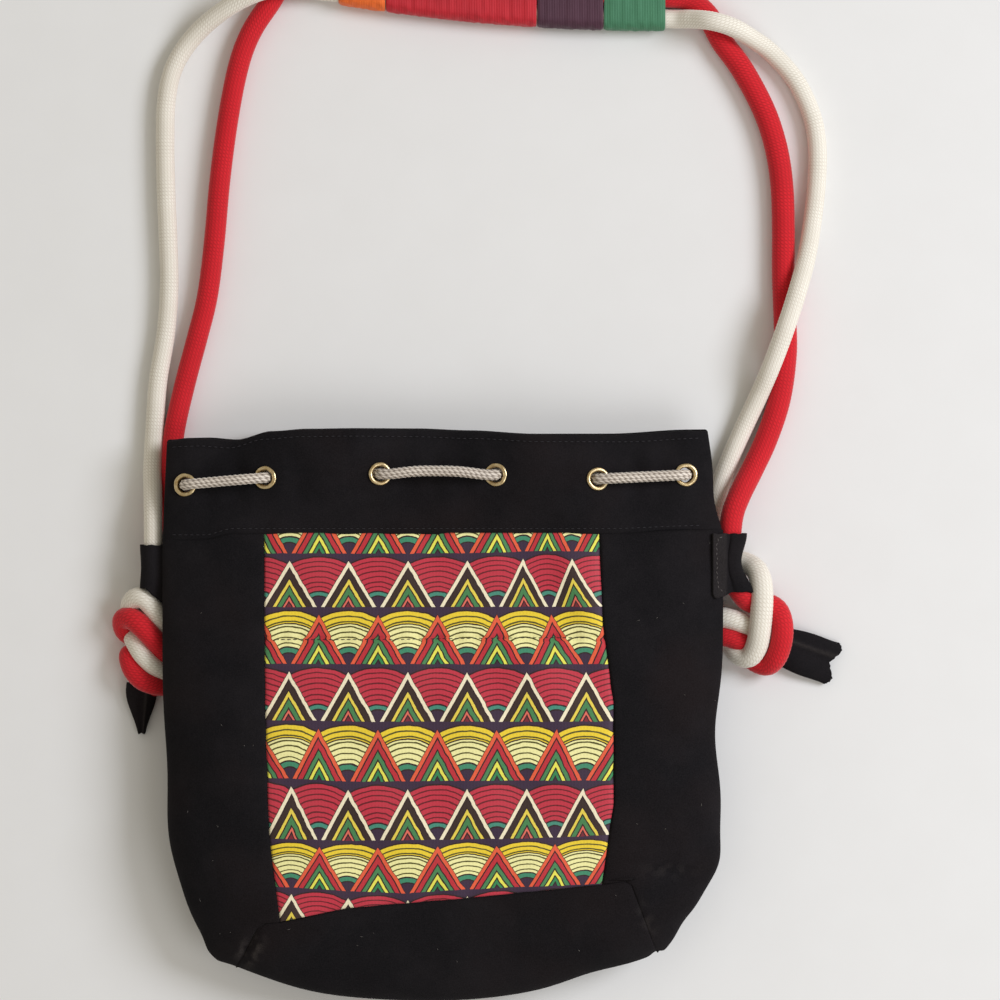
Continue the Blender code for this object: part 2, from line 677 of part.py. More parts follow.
def make_collar():
    """A band folded double and sewn to the body, its two halves joined at the side seams."""
    inside = make_cutter("collar_inside", collar_solid(COLLAR_WALL, CUT_OVERRUN))
    mesh = eyelet_mesh()
    bore = 0.5 * EYELET_BORE + EYELET_BARREL + EYELET_FIT
    far = (HALF_WIDTH + REGION_MARGIN) / MM
    bottom = (SEAM_Y - REGION_MARGIN) / MM
    top = (COLLAR_TOP_Y + REGION_MARGIN) / MM
    block = [(-far, bottom), (far, bottom), (far, top), (-far, top)]
    for face, side in ((1, "front"), (-1, "back")):
        half = make_part("collar_" + side, collar_solid(0.0, 0.0), (SUEDE_BLACK,))
        edge = 0.5 * SEAM_GAP * face
        low, high = sorted((RIM_Z + edge, RIM_Z + CROWN_Z * face))
        add_boolean(half, prism("collar_" + side + "_region", block, low, high), "INTERSECT")
        add_boolean(half, inside, "DIFFERENCE")
        holes = bmesh.new()
        for index in range(len(EYELET_X)):
            centre, normal = eyelet_seat(index, face)
            place = Matrix.Translation(centre) @ aim(normal)
            bmesh.ops.create_cone(holes, cap_ends=True, segments=EYELET_STEPS, radius1=bore, radius2=bore,
                                  depth=EYELET_CUT, matrix=place)
            eyelet = bpy.data.objects.new("eyelet_%s_%d" % (side, index + 1), mesh)
            eyelet.matrix_world = place
            PARTS.objects.link(eyelet)
        add_boolean(half, make_cutter("collar_" + side + "_holes", holes), "DIFFERENCE")


# Cords

def smooth_route(points):
    """Even points along a smooth curve through the given ones."""
    fine = []
    for index in range(len(points) - 1):
        before = points[max(index - 1, 0)]
        start, end = points[index], points[index + 1]
        after = points[min(index + 2, len(points) - 1)]
        for step in range(ROUTE_STEPS):
            t = step / ROUTE_STEPS
            fine.append(0.5 * (2.0 * start + (end - before) * t
                               + (2.0 * before - 5.0 * start + 4.0 * end - after) * t * t
                               + (3.0 * start - before - 3.0 * end + after) * t ** 3))
    fine.append(points[-1])
    return fine


def even_points(points, spacing):
    fine = smooth_route(points)
    lengths = [0.0]
    for start, end in zip(fine, fine[1:]):
        lengths.append(lengths[-1] + (end - start).length)
    count = max(1, round(lengths[-1] / spacing))
    chosen = []
    place = 0
    for step in range(count + 1):
        target = lengths[-1] * step / count
        while place < len(fine) - 2 and lengths[place + 1] < target:
            place += 1
        share = (target - lengths[place]) / (lengths[place + 1] - lengths[place])
        chosen.append(fine[place].lerp(fine[place + 1], min(share, 1.0)))
    return chosen


def make_tube(name, points, diameter, material, collection, resolution=2):
    curve = bpy.data.curves.new(name, "CURVE")
    curve.dimensions = "3D"
    curve.bevel_depth = 0.5 * diameter
    curve.bevel_resolution = resolution
    curve.use_fill_caps = True
    spline = curve.splines.new("POLY")
    spline.points.add(len(points) - 1)
    for control, point in zip(spline.points, points):
        control.co = (*point, 1.0)
    curve.materials.append(material)
    tube = bpy.data.objects.new(name, curve)
    collection.objects.link(tube)
    return tube


def millimetres(points):
    return [Vector(point) * MM for point in points]


def drawstring_route():
    """The cord's way through all the eyelets: from its knot, round the back, then the front."""
    lift = 0.5 * COLLAR_WALL + EYELET_FIT + EYELET_RIM
    clear = 0.5 * DRAWSTRING_DIAMETER + DRAWSTRING_CLEARANCE
    stops = [(4, -1), (5, -1), (5, 1), (4, 1), (3, 1), (2, 1), (1, 1), (0, 1),
             (0, -1), (1, -1), (2, -1), (3, -1)]
    knot = drawstring_knot_place()
    end = Vector((DRAWSTRING_KNOT[0] + JOINT_GAP, 0.0, 0.0))
    lead = end + Vector((DRAWSTRING_LEAD, 0.0, 0.0))
    route = [knot + end, knot + lead]
    for order, (index, face) in enumerate(stops):
        centre, normal = eyelet_seat(index, face)
        previous = eyelet_seat(*stops[order - 1])[0] if order else knot
        is_last = order + 1 == len(stops)
        following, next_normal = (knot, normal) if is_last else eyelet_seat(*stops[order + 1])
        sign = -1.0 if order % 2 else 1.0
        off = normal * sign * (lift + clear)
        hole = normal * sign * lift
        route.append(centre - off + turn_towards(previous - centre, normal))
        route.append(centre - hole)
        route.append(centre + hole)
        route.append(centre + off + turn_towards(following - centre, normal))
        if not is_last and (following - centre).length > DRAWSTRING_BOW_FROM:
            bow = DRAWSTRING_BOW if sign > 0 else 1.0
            route.append(0.5 * (centre + following + (normal + next_normal) * sign * (lift + clear) * bow))
    route.extend((knot - lead, knot - end))
    return route


def turn_towards(way, normal):
    """How far along the wall the cord has turned on its way where it clears the eyelet's rim."""
    along = way - normal * way.dot(normal)
    return along.normalized() * min(DRAWSTRING_TURN, DRAWSTRING_TURN_SHARE * way.length)


def drawstring_knot_place():
    x = 0.5 * (EYELET_X[3] + EYELET_X[4])
    y = 0.5 * (EYELET_Y[3] + EYELET_Y[4])
    floor = collar_height(x, y, COLLAR_WALL, -1)
    return Vector((x, y, floor + DRAWSTRING_KNOT[2] + JOINT_GAP))


def make_drawstring():
    make_tube("drawstring", drawstring_route(), DRAWSTRING_DIAMETER, CORD_BEIGE, PARTS)
    bm = bmesh.new()
    bmesh.ops.create_icosphere(bm, subdivisions=2, radius=1.0)
    size = Matrix.Diagonal((*DRAWSTRING_KNOT, 1.0))
    bmesh.ops.transform(bm, matrix=Matrix.Translation(drawstring_knot_place()) @ size, verts=bm.verts)
    make_part("drawstring_knot", bm, (CORD_BEIGE,))


def make_ropes():
    cream = even_points(millimetres(CREAM_ROUTE), ROPE_POINT_SPACING)
    red = even_points(millimetres(RED_ROUTE), ROPE_POINT_SPACING)
    make_tube("strap_rope_cream", cream, CREAM_ROPE, ROPE_CREAM, PARTS)
    make_tube("strap_rope_red", red, RED_ROPE, ROPE_RED, PARTS)


# Thread wrapping

def wrap_section(angle, radius):
    """A point of the outline round two ropes that lie side by side."""
    side = math.cos(angle)
    return math.copysign(0.5 * ROPE_PITCH, side) + radius * side, radius * math.sin(angle)


def make_wraps():
    radius = 0.5 * RED_ROPE + WRAP_CLEARANCE + WRAP_WALL
    names = (("wrap_orange", THREAD_ORANGE), ("wrap_red", THREAD_RED),
             ("wrap_purple", THREAD_PURPLE), ("wrap_green", THREAD_GREEN))
    for (name, material), start, end in zip(names, WRAP_ENDS, WRAP_ENDS[1:]):
        bm = bmesh.new()
        rows = max(1, round((end - start) / WRAP_ROW))
        grid = bmesh.ops.create_grid(bm, x_segments=WRAP_SIDES, y_segments=rows, size=1.0)
        for vert in grid["verts"]:
            angle = math.pi * (vert.co.x + 1.0) + math.pi / WRAP_SIDES
            x = start + 0.5 * SEAM_GAP + 0.5 * (vert.co.y + 1.0) * (end - start - SEAM_GAP)
            side, up = wrap_section(angle, radius)
            middle = WRAP_Y + WRAP_BEND * (x - WRAP_FLAT_X) ** 2
            vert.co = (x, middle + side, WRAP_Z + up)
        bmesh.ops.remove_doubles(bm, verts=bm.verts, dist=0.00001)
        wrap = make_part(name, bm, (material,))
        add_solidify(wrap, WRAP_WALL)


# Tabs, knots and sleeves

def tab_section(rope_diameter, has_strip, middle_y):
    """The tab's middle line in the XZ plane: on the front, round the rope and under the side."""
    gap = JOINT_GAP + 0.5 * TAB_THICKNESS
    centre = Vector((TAB_ROPE_X, TAB_ROPE_Z))
    points = []
    if has_strip:
        for x in (TAB_STRIP_START, 0.5 * (TAB_STRIP_START + HALF_WIDTH)):
            points.append(Vector((x, front_height(x, middle_y) + gap + 2.0 * JOINT_GAP)))
        points.append(Vector((HALF_WIDTH + JOINT_GAP, RIM_Z + gap + TAB_THICKNESS)))
    turn = math.radians(TAB_FROM_ANGLE - TAB_TO_ANGLE) / TAB_STEPS
    radius = (0.5 * rope_diameter + TAB_CLEARANCE + 0.5 * TAB_THICKNESS) / math.cos(0.5 * turn)
    for step in range(TAB_STEPS + 1):
        angle = math.radians(TAB_FROM_ANGLE) - step * turn
        points.append(centre + Vector((math.cos(angle), math.sin(angle))) * radius)
    below = RIM_Z * (1.0 - round_off(HALF_WIDTH - TAB_TAIL_X, BACK_ROUND))
    points.append(Vector((TAB_TAIL_X, below - gap)))
    return points


def make_tab(name, side, section, top_y, width):
    bm = bmesh.new()
    grid = bmesh.ops.create_grid(bm, x_segments=len(section) - 1, y_segments=3, size=1.0)
    for vert in grid["verts"]:
        point = section[round(0.5 * (vert.co.x + 1.0) * (len(section) - 1))]
        y = top_y - 0.5 * (vert.co.y + 1.0) * width
        vert.co = (side * point.x, y, point.y)
    tab = make_part(name, bm, (SUEDE_BLACK,))
    add_solidify(tab, TAB_THICKNESS, offset=0.0)


def make_tabs():
    left_y = TAB_TOP_LEFT_Y - 0.5 * TAB_WIDTH_LEFT
    right_y = TAB_TOP_RIGHT_Y - 0.5 * TAB_WIDTH_RIGHT
    left = tab_section(CREAM_ROPE, False, left_y)
    right = tab_section(RED_ROPE, True, right_y)
    make_tab("tab_left", -1.0, left, TAB_TOP_LEFT_Y, TAB_WIDTH_LEFT)
    make_tab("tab_right", 1.0, right, TAB_TOP_RIGHT_Y, TAB_WIDTH_RIGHT)


def knot_solid(name, core, strands, material):
    """The outer shape of a knot: its strands joined into one body round a core."""
    centre, size = core
    bm = bmesh.new()
    bmesh.ops.create_icosphere(bm, subdivisions=2, radius=1.0)
    place = Matrix.Translation(Vector(centre) * MM) @ Matrix.Diagonal((*(Vector(size) * MM), 1.0))
    bmesh.ops.transform(bm, matrix=place, verts=bm.verts)
    knot = make_part(name, bm, (material,))
    tubes = []
    for index, (points, diameter) in enumerate(strands):
        route = even_points(millimetres(points), KNOT_POINT_SPACING)
        tubes.append(make_tube("%s_strand_%d" % (name, index + 1), route, diameter, material, CUTTERS))
    bpy.context.view_layer.update()
    graph = bpy.context.evaluated_depsgraph_get()
    for tube in tubes:
        bm = bmesh.new()
        mesh = bpy.data.meshes.new_from_object(tube.evaluated_get(graph))
        bm.from_mesh(mesh)
        bmesh.ops.remove_doubles(bm, verts=bm.verts, dist=0.00001)
        strand = make_cutter(tube.name + "_solid", bm)
        bpy.data.objects.remove(tube, do_unlink=True)
        add_boolean(knot, strand, "UNION")


def make_knots():
    cream, red = CREAM_ROPE, RED_ROPE
    knot_solid("knot_left", ((-161.5, 38.0, 8.8), (11.5, 26.0, 8.4)), (
        (((-175.5, 57.0, 8.5), (-173.0, 61.5, 12.5), (-168.0, 62.6, 16.0), (-162.6, 60.4, 17.6),
          (-157.6, 55.8, 17.0), (-153.6, 50.0, 14.0), (-151.2, 44.0, 10.0)), cream),
        (((-176.5, 46.0, 7.0), (-175.5, 51.0, 10.5), (-170.5, 49.6, 15.0), (-165.5, 45.6, 16.4),
          (-159.8, 39.8, 16.0), (-154.6, 34.2, 13.0), (-151.4, 30.4, 9.0)), red),
        (((-170.5, 40.5, 9.0), (-168.0, 36.0, 13.0), (-163.4, 31.0, 15.6), (-158.0, 26.4, 14.0),
          (-152.0, 22.6, 9.0)), cream),
        (((-172.0, 33.0, 7.0), (-171.0, 25.0, 9.5), (-165.4, 18.4, 12.0), (-158.4, 14.8, 10.6),
          (-152.0, 13.4, 7.0)), red),
        (((-156.6, 68.2, 18.2), (-156.8, 61.5, 17.6), (-159.2, 54.0, 13.4), (-161.0, 46.0, 10.0)), cream),
        (((-146.6, 58.2, 5.7), (-147.0, 51.4, 5.7), (-151.0, 46.0, 6.0), (-156.0, 43.0, 7.0)), red),
        (((-162.8, 22.0, 6.2), (-163.6, 11.0, 4.6), (-163.6, 5.0, 4.5)), SLEEVE_CORE)), ROPE_RED)
    knot_solid("knot_right", ((167.0, 45.0, 9.0), (14.5, 20.0, 8.7)), (
        (((146.4, 99.4, 5.2), (146.6, 93.6, 5.2), (149.2, 87.0, 5.2), (155.0, 83.2, 5.2),
          (161.0, 82.9, 5.4), (166.0, 81.6, 7.6), (170.4, 78.0, 12.4), (172.4, 70.6, 17.0),
          (172.8, 59.6, 19.4), (171.4, 46.4, 19.0), (167.6, 35.8, 16.0), (161.8, 31.0, 12.0),
          (157.0, 33.4, 8.0)), cream),
        (((176.0, 64.0, 9.0), (180.6, 58.0, 10.4), (183.4, 48.4, 11.2), (182.4, 37.8, 11.0),
          (177.6, 30.0, 9.5), (171.0, 26.8, 7.0)), red),
        (((153.5, 51.6, 10.0), (158.5, 49.4, 14.0), (165.5, 46.6, 15.0)), cream),
        (((153.5, 40.6, 8.0), (158.0, 39.2, 12.0), (164.0, 37.0, 13.0)), red),
        (((156.6, 65.2, 18.2), (156.8, 58.6, 17.6), (160.0, 53.0, 15.0), (165.0, 47.0, 12.0)), red),
        (((176.0, 39.0, 6.6), (186.0, 35.7, 4.7), (192.0, 33.8, 4.6)), SLEEVE_CORE)), ROPE_RED)


def make_sleeve(name, sizes):
    """A flattened suede tube over the ropes' ends, open at both ends."""
    places, widths, heights, notch = sizes[:2], sizes[2], sizes[3], sizes[4] * MM
    start, end = (Vector((*place, 0.0)) * MM for place in places)
    direction = (end - start).normalized()
    across = Vector((-direction.y, direction.x, 0.0)).normalized()
    bm = bmesh.new()
    grid = bmesh.ops.create_grid(bm, x_segments=12, y_segments=4, size=1.0)
    for vert in grid["verts"]:
        angle = math.pi * (vert.co.x + 1.0)
        share = 0.5 * (vert.co.y + 1.0)
        half_width = 0.5 * MM * (widths[0] + share * (widths[1] - widths[0]))
        half_height = 0.5 * MM * (heights[0] + share * (heights[1] - heights[0]))
        side = math.cos(angle)
        length = share * (end - start).length - notch * share ** 2 * (1.0 - abs(side))
        lift = half_height * math.sin(angle)
        floor = Vector((start.x, start.y, 0.0)) + direction * length + across * (side * half_width)
        vert.co = floor + Vector((0.0, 0.0, half_height + JOINT_GAP + lift))
    bmesh.ops.remove_doubles(bm, verts=bm.verts, dist=0.00001)
    sleeve = make_part(name, bm, (SUEDE_BLACK,))
    add_solidify(sleeve, SLEEVE_WALL)


clear_scene()
PARTS = make_collection(BAG_NAME)
CUTTERS = make_collection("Cutters")
SUEDE_BLACK = make_material("Black suede", (0.012, 0.011, 0.012), 0.9)
BRASS = make_material("Pale brass", (0.80, 0.62, 0.32), 0.28, 1.0)
CORD_BEIGE = make_material("Beige braided cord", (0.60, 0.53, 0.45), 0.55)
ROPE_CREAM = make_material("Cream cotton rope", (0.80, 0.75, 0.64), 0.9)
ROPE_RED = make_material("Red cotton rope", (0.62, 0.02, 0.025), 0.9)
THREAD_ORANGE = make_material("Orange thread", (0.75, 0.16, 0.02), 0.6)
THREAD_RED = make_material("Red thread", (0.60, 0.02, 0.03), 0.6)
THREAD_PURPLE = make_material("Purple thread", (0.09, 0.025, 0.06), 0.6)
THREAD_GREEN = make_material("Green thread", (0.06, 0.24, 0.10), 0.6)
POCKET_COTTON = make_material("Black pocket cotton", (0.02, 0.02, 0.022), 0.9)
PRINT_COLOURS = (
    make_material("Print dark purple", (0.060, 0.030, 0.069), 0.7),
    make_material("Print cream", (0.92, 0.82, 0.56), 0.7),
    make_material("Print dark brown", (0.056, 0.030, 0.023), 0.7),
    make_material("Print yellow", (0.84, 0.64, 0.09), 0.7),
    make_material("Print green", (0.075, 0.23, 0.10), 0.7),
    make_material("Print salmon", (0.78, 0.16, 0.10), 0.7),
    make_material("Print orange", (0.85, 0.13, 0.06), 0.7),
    make_material("Print crimson", (0.56, 0.035, 0.045), 0.7),
    make_material("Print lime", (0.83, 0.80, 0.10), 0.7),
    make_material("Print sea green", (0.08, 0.28, 0.19), 0.7),
    make_material("Print pale yellow", (0.92, 0.89, 0.38), 0.7),
)
BODY_INSIDE = make_cutter("body_inside", body_solid(SUEDE, -0.02))
make_body()
make_print_panel()
make_pocket()
make_collar()
make_drawstring()
make_ropes()
make_wraps()
make_tabs()
make_knots()
make_sleeve("end_sleeve_left", SLEEVE_LEFT)
make_sleeve("end_sleeve_right", SLEEVE_RIGHT)
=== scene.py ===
"""Looks of a suede drawstring shoulder bag that lies on its back, with its rope strap laid out above it.

Sizes are in metres unless a name says otherwise. X runs across the bag, Y from its base to the strap
and Z up from the floor.
"""
import math

import bmesh
import bpy
import numpy as np
from bpy.props import FloatProperty, IntProperty, PointerProperty
from bpy.types import Operator, Panel, PropertyGroup
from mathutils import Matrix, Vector


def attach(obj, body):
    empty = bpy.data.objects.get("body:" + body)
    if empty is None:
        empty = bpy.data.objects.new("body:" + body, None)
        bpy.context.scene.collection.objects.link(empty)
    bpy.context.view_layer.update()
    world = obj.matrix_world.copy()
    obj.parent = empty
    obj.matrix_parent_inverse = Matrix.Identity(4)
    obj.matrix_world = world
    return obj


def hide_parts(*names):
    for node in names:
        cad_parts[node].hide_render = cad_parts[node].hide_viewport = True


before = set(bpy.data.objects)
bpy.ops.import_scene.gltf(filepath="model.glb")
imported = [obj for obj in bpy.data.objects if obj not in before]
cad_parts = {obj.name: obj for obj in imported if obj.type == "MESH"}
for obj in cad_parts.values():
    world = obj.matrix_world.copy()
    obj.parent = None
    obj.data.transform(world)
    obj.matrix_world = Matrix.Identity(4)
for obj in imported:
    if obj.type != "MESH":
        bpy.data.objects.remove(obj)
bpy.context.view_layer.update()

bl_info = {
    "name": "Drawstring shoulder bag",
    "version": (1, 0, 0),
    "blender": (4, 5, 0),
    "location": "View3D > Sidebar > Shoulder bag",
    "description": "Makes the suede, print, cords and fittings of a drawstring shoulder bag",
    "category": "Object",
}

MM = 0.001
BODY = "root"
SEED = 11

# Body, as in the solid model
HALF_WIDTH = 151.0 * MM
SEAM_Y = 98.5 * MM
CORNER_Y = -129.0 * MM
CORNER_INSET = 31.5 * MM
NARROW_FROM_Y = -10.0 * MM
NARROW_POWER = 3.3
BASE_SAG = 24.5 * MM
BASE_TILT = 2.6 * MM
CROWN_Z = 50.0 * MM
CROWN_Y = -30.0 * MM
CROWN_FALL = 12.0 * MM
CROWN_FALL_LENGTH = 160.0 * MM
CROWN_BOW = 3.0 * MM
RIM_Z = 26.0 * MM
FRONT_ROUND = 55.0 * MM
BACK_ROUND = 80.0 * MM
BASE_ROUND = 48.0 * MM
SUEDE = 1.6 * MM
LIFT_FROM_Y = 40.0 * MM
SEAM_DIP = 1.0 * MM

# Grids and rings, coarse enough for a million triangles in all
PANEL_ROWS = 170
PANEL_STEPS = 55
BACK_GRID = (60, 40)
PRINT_GRID = (204, 156)
COLLAR_GRID = 250
SLEEVE_GRID = (36, 60)
TAB_ROWS = 48
TAB_STEP = 0.5 * MM
EYELET_SIDES = 40
SEAM_POINTS = 400

# Collar, eyelets and drawstring, as in the solid model
COLLAR_TOP_Y = 151.0 * MM
COLLAR_RISE = ((-1.0, -3.2), (-0.93, -2.2), (-0.86, -2.0), (-0.76, -3.0), (-0.63, 1.6), (-0.5, 2.9),
               (-0.33, 3.2), (-0.1, 3.0), (0.1, 2.0), (0.35, 0.2), (0.64, 0.2), (0.94, 2.3), (1.0, 2.3))
COLLAR_BACK_RISE = 0.9 * MM
COLLAR_TAPER_RIGHT = 8.0 * MM
COLLAR_TAPER_LEFT = 2.6 * MM
COLLAR_WAIST = 2.2 * MM
COLLAR_WALL = 3.0 * MM
COLLAR_LIFT = 9.5 * MM
GATHER_FRONT = 3.6 * MM
GATHER_BACK = 1.5 * MM
EYELET_X = (-138.2 * MM, -95.0 * MM, -33.5 * MM, 28.6 * MM, 83.2 * MM, 130.7 * MM)
EYELET_Y = (124.2 * MM, 128.0 * MM, 130.1 * MM, 129.6 * MM, 127.4 * MM, 129.6 * MM)
EYELET_HOLE = 9.9 * MM
DRAWSTRING_LIFT = 3.05 * MM
DRAWSTRING_CLEAR = 3.3 * MM
DRAWSTRING_TURN = 4.6 * MM
DRAWSTRING_LEAD = 6.0 * MM
DRAWSTRING_TURN_SHARE = 0.12
DRAWSTRING_BOW = 1.15
DRAWSTRING_BOW_FROM = 30.2 * MM
DRAWSTRING_ARCH = {4: 1.8 * MM}
DRAWSTRING_KNOT = (9.0 * MM, 6.5 * MM, 5.0 * MM)
DRAWSTRING = 5.9 * MM
DRAWSTRING_TIGHT = 5.0 * MM
DRAWSTRING_COLUMNS = 8
DRAWSTRING_STITCH = 2.8 * MM
DRAWSTRING_SIDES = 40
JOINT_GAP = 0.3 * MM

# Seams of the print and of the box corners in plan, in millimetres
PRINT_LEFT = ((-95.8, 98.5), (-94.6, 8.0), (-92.4, -62.0), (-86.5, -109.0))
PRINT_FOOT = ((-86.5, -109.0), (-50.0, -101.5), (14.6, -96.0), (85.0, -89.0))
PRINT_RIGHT = ((84.0, 98.5), (85.6, 50.0), (91.3, 8.0), (91.3, -46.0), (85.0, -89.0))
LEFT_CORNER_SEAM = ((-86.5, -109.0), (-94.0, -109.6), (-98.9, -112.4), (-109.6, -132.5), (-114.0, -150.0))
RIGHT_CORNER_SEAM = ((85.0, -89.0), (96.0, -86.2), (100.9, -89.6), (114.5, -125.8), (120.0, -150.0))
CORNER_TURN = 2

# Places where the sewn outline strays in plan, with the move and its reach, in millimetres
OUTLINE_MOVES = (
    ((151.0, -10.0), (-4.3, 0.0), 26.0),
    ((148.0, -79.4), (3.3, -0.4), 14.0),
    ((131.2, -112.9), (-1.2, 1.0), 9.0),
    ((114.8, -128.5), (-0.2, 1.4), 3.0),
    ((79.4, -140.4), (0.0, 2.4), 20.0),
    ((-71.8, -148.5), (0.0, -1.9), 32.0),
    ((-124.7, -128.0), (-2.4, -0.8), 8.0),
    ((-146.0, -89.0), (1.6, 0.0), 20.0),
    ((-150.0, -32.0), (2.6, 0.0), 30.0),
)

# Lines in plan where the nap is rubbed pale, with a painted highlight along the same folds, in millimetres,
# with the strength
WEAR_AND_HIGHLIGHT_LINES = (
    ((-94.0, -112.0), (-108.5, -139.0), 0.42), ((-104.0, -116.0), (-112.0, -133.0), 0.3),
    ((98.0, -81.6), (142.0, -82.0), 0.12), ((102.5, -92.0), (115.5, -124.0), 0.16),
)

# Creases pressed into the sewn front: both ends in plan, depth and width, in millimetres
CREASES = (
    ((-97.0, -108.0), (-111.0, -136.0), 1.8, 3.2), ((101.0, -82.0), (148.0, -83.0), 0.9, 2.6),
    ((104.0, -70.0), (140.0, -96.0), 0.5, 4.0), ((-70.0, -118.0), (40.0, -108.0), 0.5, 4.0),
    ((-130.0, -60.0), (-112.0, -112.0), 0.5, 5.0),
)

# Print pattern, in millimetres on the cloth: rows of triangles, and fans between them
COLUMN_PITCH = 31.75
COLUMN_X = -18.4
ROW_FEET_Y = (118.0, 87.5, 58.9, 28.1, -3.8, -36.2, -68.0, -95.5, -123.0)

# How far the cloth's rows are drawn up from level: at each Y, the lifts at the listed X, in millimetres
CLOTH_LIFT_X = (-82.0, -50.0, -20.0, 11.0, 41.0, 74.0, 88.0)
CLOTH_LIFTS = (
    (-95.5, (5.7, 3.2, 1.9, 4.1, 5.7, 7.0, 7.4)),
    (-68.0, (3.4, 2.5, 3.0, 3.4, 3.9, 5.0, 6.4)),
    (-36.2, (4.2, 2.2, 2.5, 2.8, 2.8, 2.9, 2.9)),
    (-3.8, (2.6, 1.9, 1.9, 1.9, 1.9, 1.9, 1.9)),
    (28.1, (0.6, 0.4, 0.4, 0.4, 0.4, 0.4, 0.4)),
    (58.9, (0.0, 0.0, 0.0, 0.0, 0.0, 0.0, 0.0)),
)
ROW_PITCH = 32.1
TRIANGLE_HALF_BASE = 15.1
TRIANGLE_HEIGHT = 28.3
FAN_REACH = 32.0
HALF_ARC = 0.40
PRINT_COTTON = 0.9 * MM
POCKET_SEAM_Y = 42.0 * MM

# Strap ropes, with the route of the solid model between the knots
CREAM_ROPE = 10.0 * MM
RED_ROPE = 11.0 * MM
ROPE_STITCH = 1.9 * MM
ROPE_RELIEF = 0.2 * MM
ROPE_RINGS = 0.65 * MM
ROPE_SIDES = 36
CREAM_ROUTE = (
    (-155.6, 70.0, 12.6), (-156.6, 80.0, 18.2), (-156.6, 96.0, 18.2), (-156.8, 107.0, 17.0),
    (-157.4, 120.0, 11.6), (-157.9, 135.0, 6.6), (-156.8, 156.0, 5.2), (-155.0, 181.0, 5.2),
    (-150.8, 207.0, 5.2), (-149.0, 232.0, 5.2), (-149.6, 258.0, 5.2), (-150.7, 284.0, 5.2),
    (-151.2, 312.0, 5.2), (-150.4, 334.0, 5.2), (-146.3, 351.5, 5.2), (-136.1, 367.2, 6.4),
    (-121.5, 379.6, 12.2), (-105.5, 388.4, 18.0), (-91.0, 392.6, 19.0), (-78.0, 393.2, 12.6),
    (-66.0, 392.4, 7.6), (-50.0, 390.9, 7.4), (-30.0, 388.0, 7.4), (0.0, 384.2, 7.4),
    (30.0, 381.3, 7.4), (60.0, 379.3, 7.4), (90.0, 378.1, 7.4), (112.0, 377.6, 7.4),
    (126.0, 377.2, 7.4), (135.0, 376.6, 12.4), (145.6, 374.8, 19.0), (157.0, 371.6, 17.0),
    (168.0, 366.0, 10.4), (178.0, 359.2, 5.8), (191.2, 344.5, 5.2), (200.0, 326.0, 5.2),
    (203.2, 309.0, 5.2), (203.0, 290.0, 5.2), (200.6, 268.0, 6.0), (197.1, 248.0, 10.4),
    (191.4, 228.0, 17.0), (184.9, 208.5, 19.0), (178.2, 190.0, 15.4), (171.5, 173.5, 8.8),
    (164.0, 157.0, 5.4), (156.5, 140.0, 5.2), (150.8, 125.0, 5.2), (147.8, 111.0, 5.2),
    (146.6, 101.0, 5.2),
)
RED_ROUTE = (
    (-146.6, 59.0, 5.7), (-147.2, 80.0, 5.7), (-147.9, 105.0, 5.7), (-148.1, 127.0, 5.7),
    (-146.4, 152.0, 5.7), (-140.2, 180.0, 5.7), (-133.8, 204.0, 5.7), (-128.2, 227.0, 5.7),
    (-124.5, 256.0, 5.7), (-121.6, 288.0, 5.7), (-118.1, 316.0, 5.7), (-113.8, 341.0, 5.7),
    (-109.2, 359.0, 5.7), (-103.0, 373.0, 5.7), (-94.2, 386.1, 5.7), (-86.5, 398.4, 5.7),
    (-78.0, 404.8, 6.2), (-67.0, 404.9, 7.2), (-58.0, 403.4, 7.4), (-50.0, 402.0, 7.4),
    (-30.0, 399.0, 7.4), (0.0, 395.1, 7.4), (30.0, 392.2, 7.4), (60.0, 390.2, 7.4),
    (90.0, 389.0, 7.4), (112.0, 389.0, 7.4), (122.5, 389.4, 7.0), (133.5, 387.6, 5.7),
    (143.5, 379.6, 5.7), (151.2, 365.6, 5.7), (161.5, 351.5, 5.7), (171.2, 334.3, 5.7),
    (177.6, 319.0, 5.7), (182.0, 302.0, 5.7), (184.2, 284.0, 5.7), (184.8, 262.0, 5.7),
    (184.8, 238.0, 5.7), (185.6, 215.0, 5.7), (185.9, 195.0, 5.7), (182.5, 170.5, 5.7),
    (175.4, 149.0, 6.4), (167.8, 133.0, 9.6), (160.6, 119.0, 15.0), (156.4, 108.0, 18.0),
    (154.8, 94.0, 18.2), (154.2, 82.0, 18.0), (156.4, 73.6, 18.0),
)

# The ropes' turns in the knots, from the end sleeve at the left and to the end sleeve at the right
CREAM_LEFT_KNOT = (
    (-163.4, 8.0, 5.4), (-162.6, 11.0, 5.4), (-160.2, 14.4, 5.3), (-155.5, 17.0, 5.4), (-150.6, 19.6, 7.0),
    (-152.3, 23.0, 10.4), (-157.6, 27.0, 14.2), (-163.0, 32.6, 15.2), (-167.2, 39.2, 11.6),
    (-168.4, 41.4, 7.2), (-165.6, 37.4, 5.2), (-159.0, 33.6, 5.2), (-151.6, 35.2, 5.4),
    (-149.0, 41.0, 7.4), (-150.8, 46.2, 10.8), (-153.4, 51.6, 14.6), (-157.0, 58.2, 17.4),
    (-161.6, 62.8, 18.0), (-166.4, 62.8, 15.4), (-169.2, 59.2, 10.8), (-169.2, 54.8, 6.6),
    (-165.4, 53.6, 5.4), (-160.0, 57.0, 5.6), (-156.6, 63.0, 7.4),
)
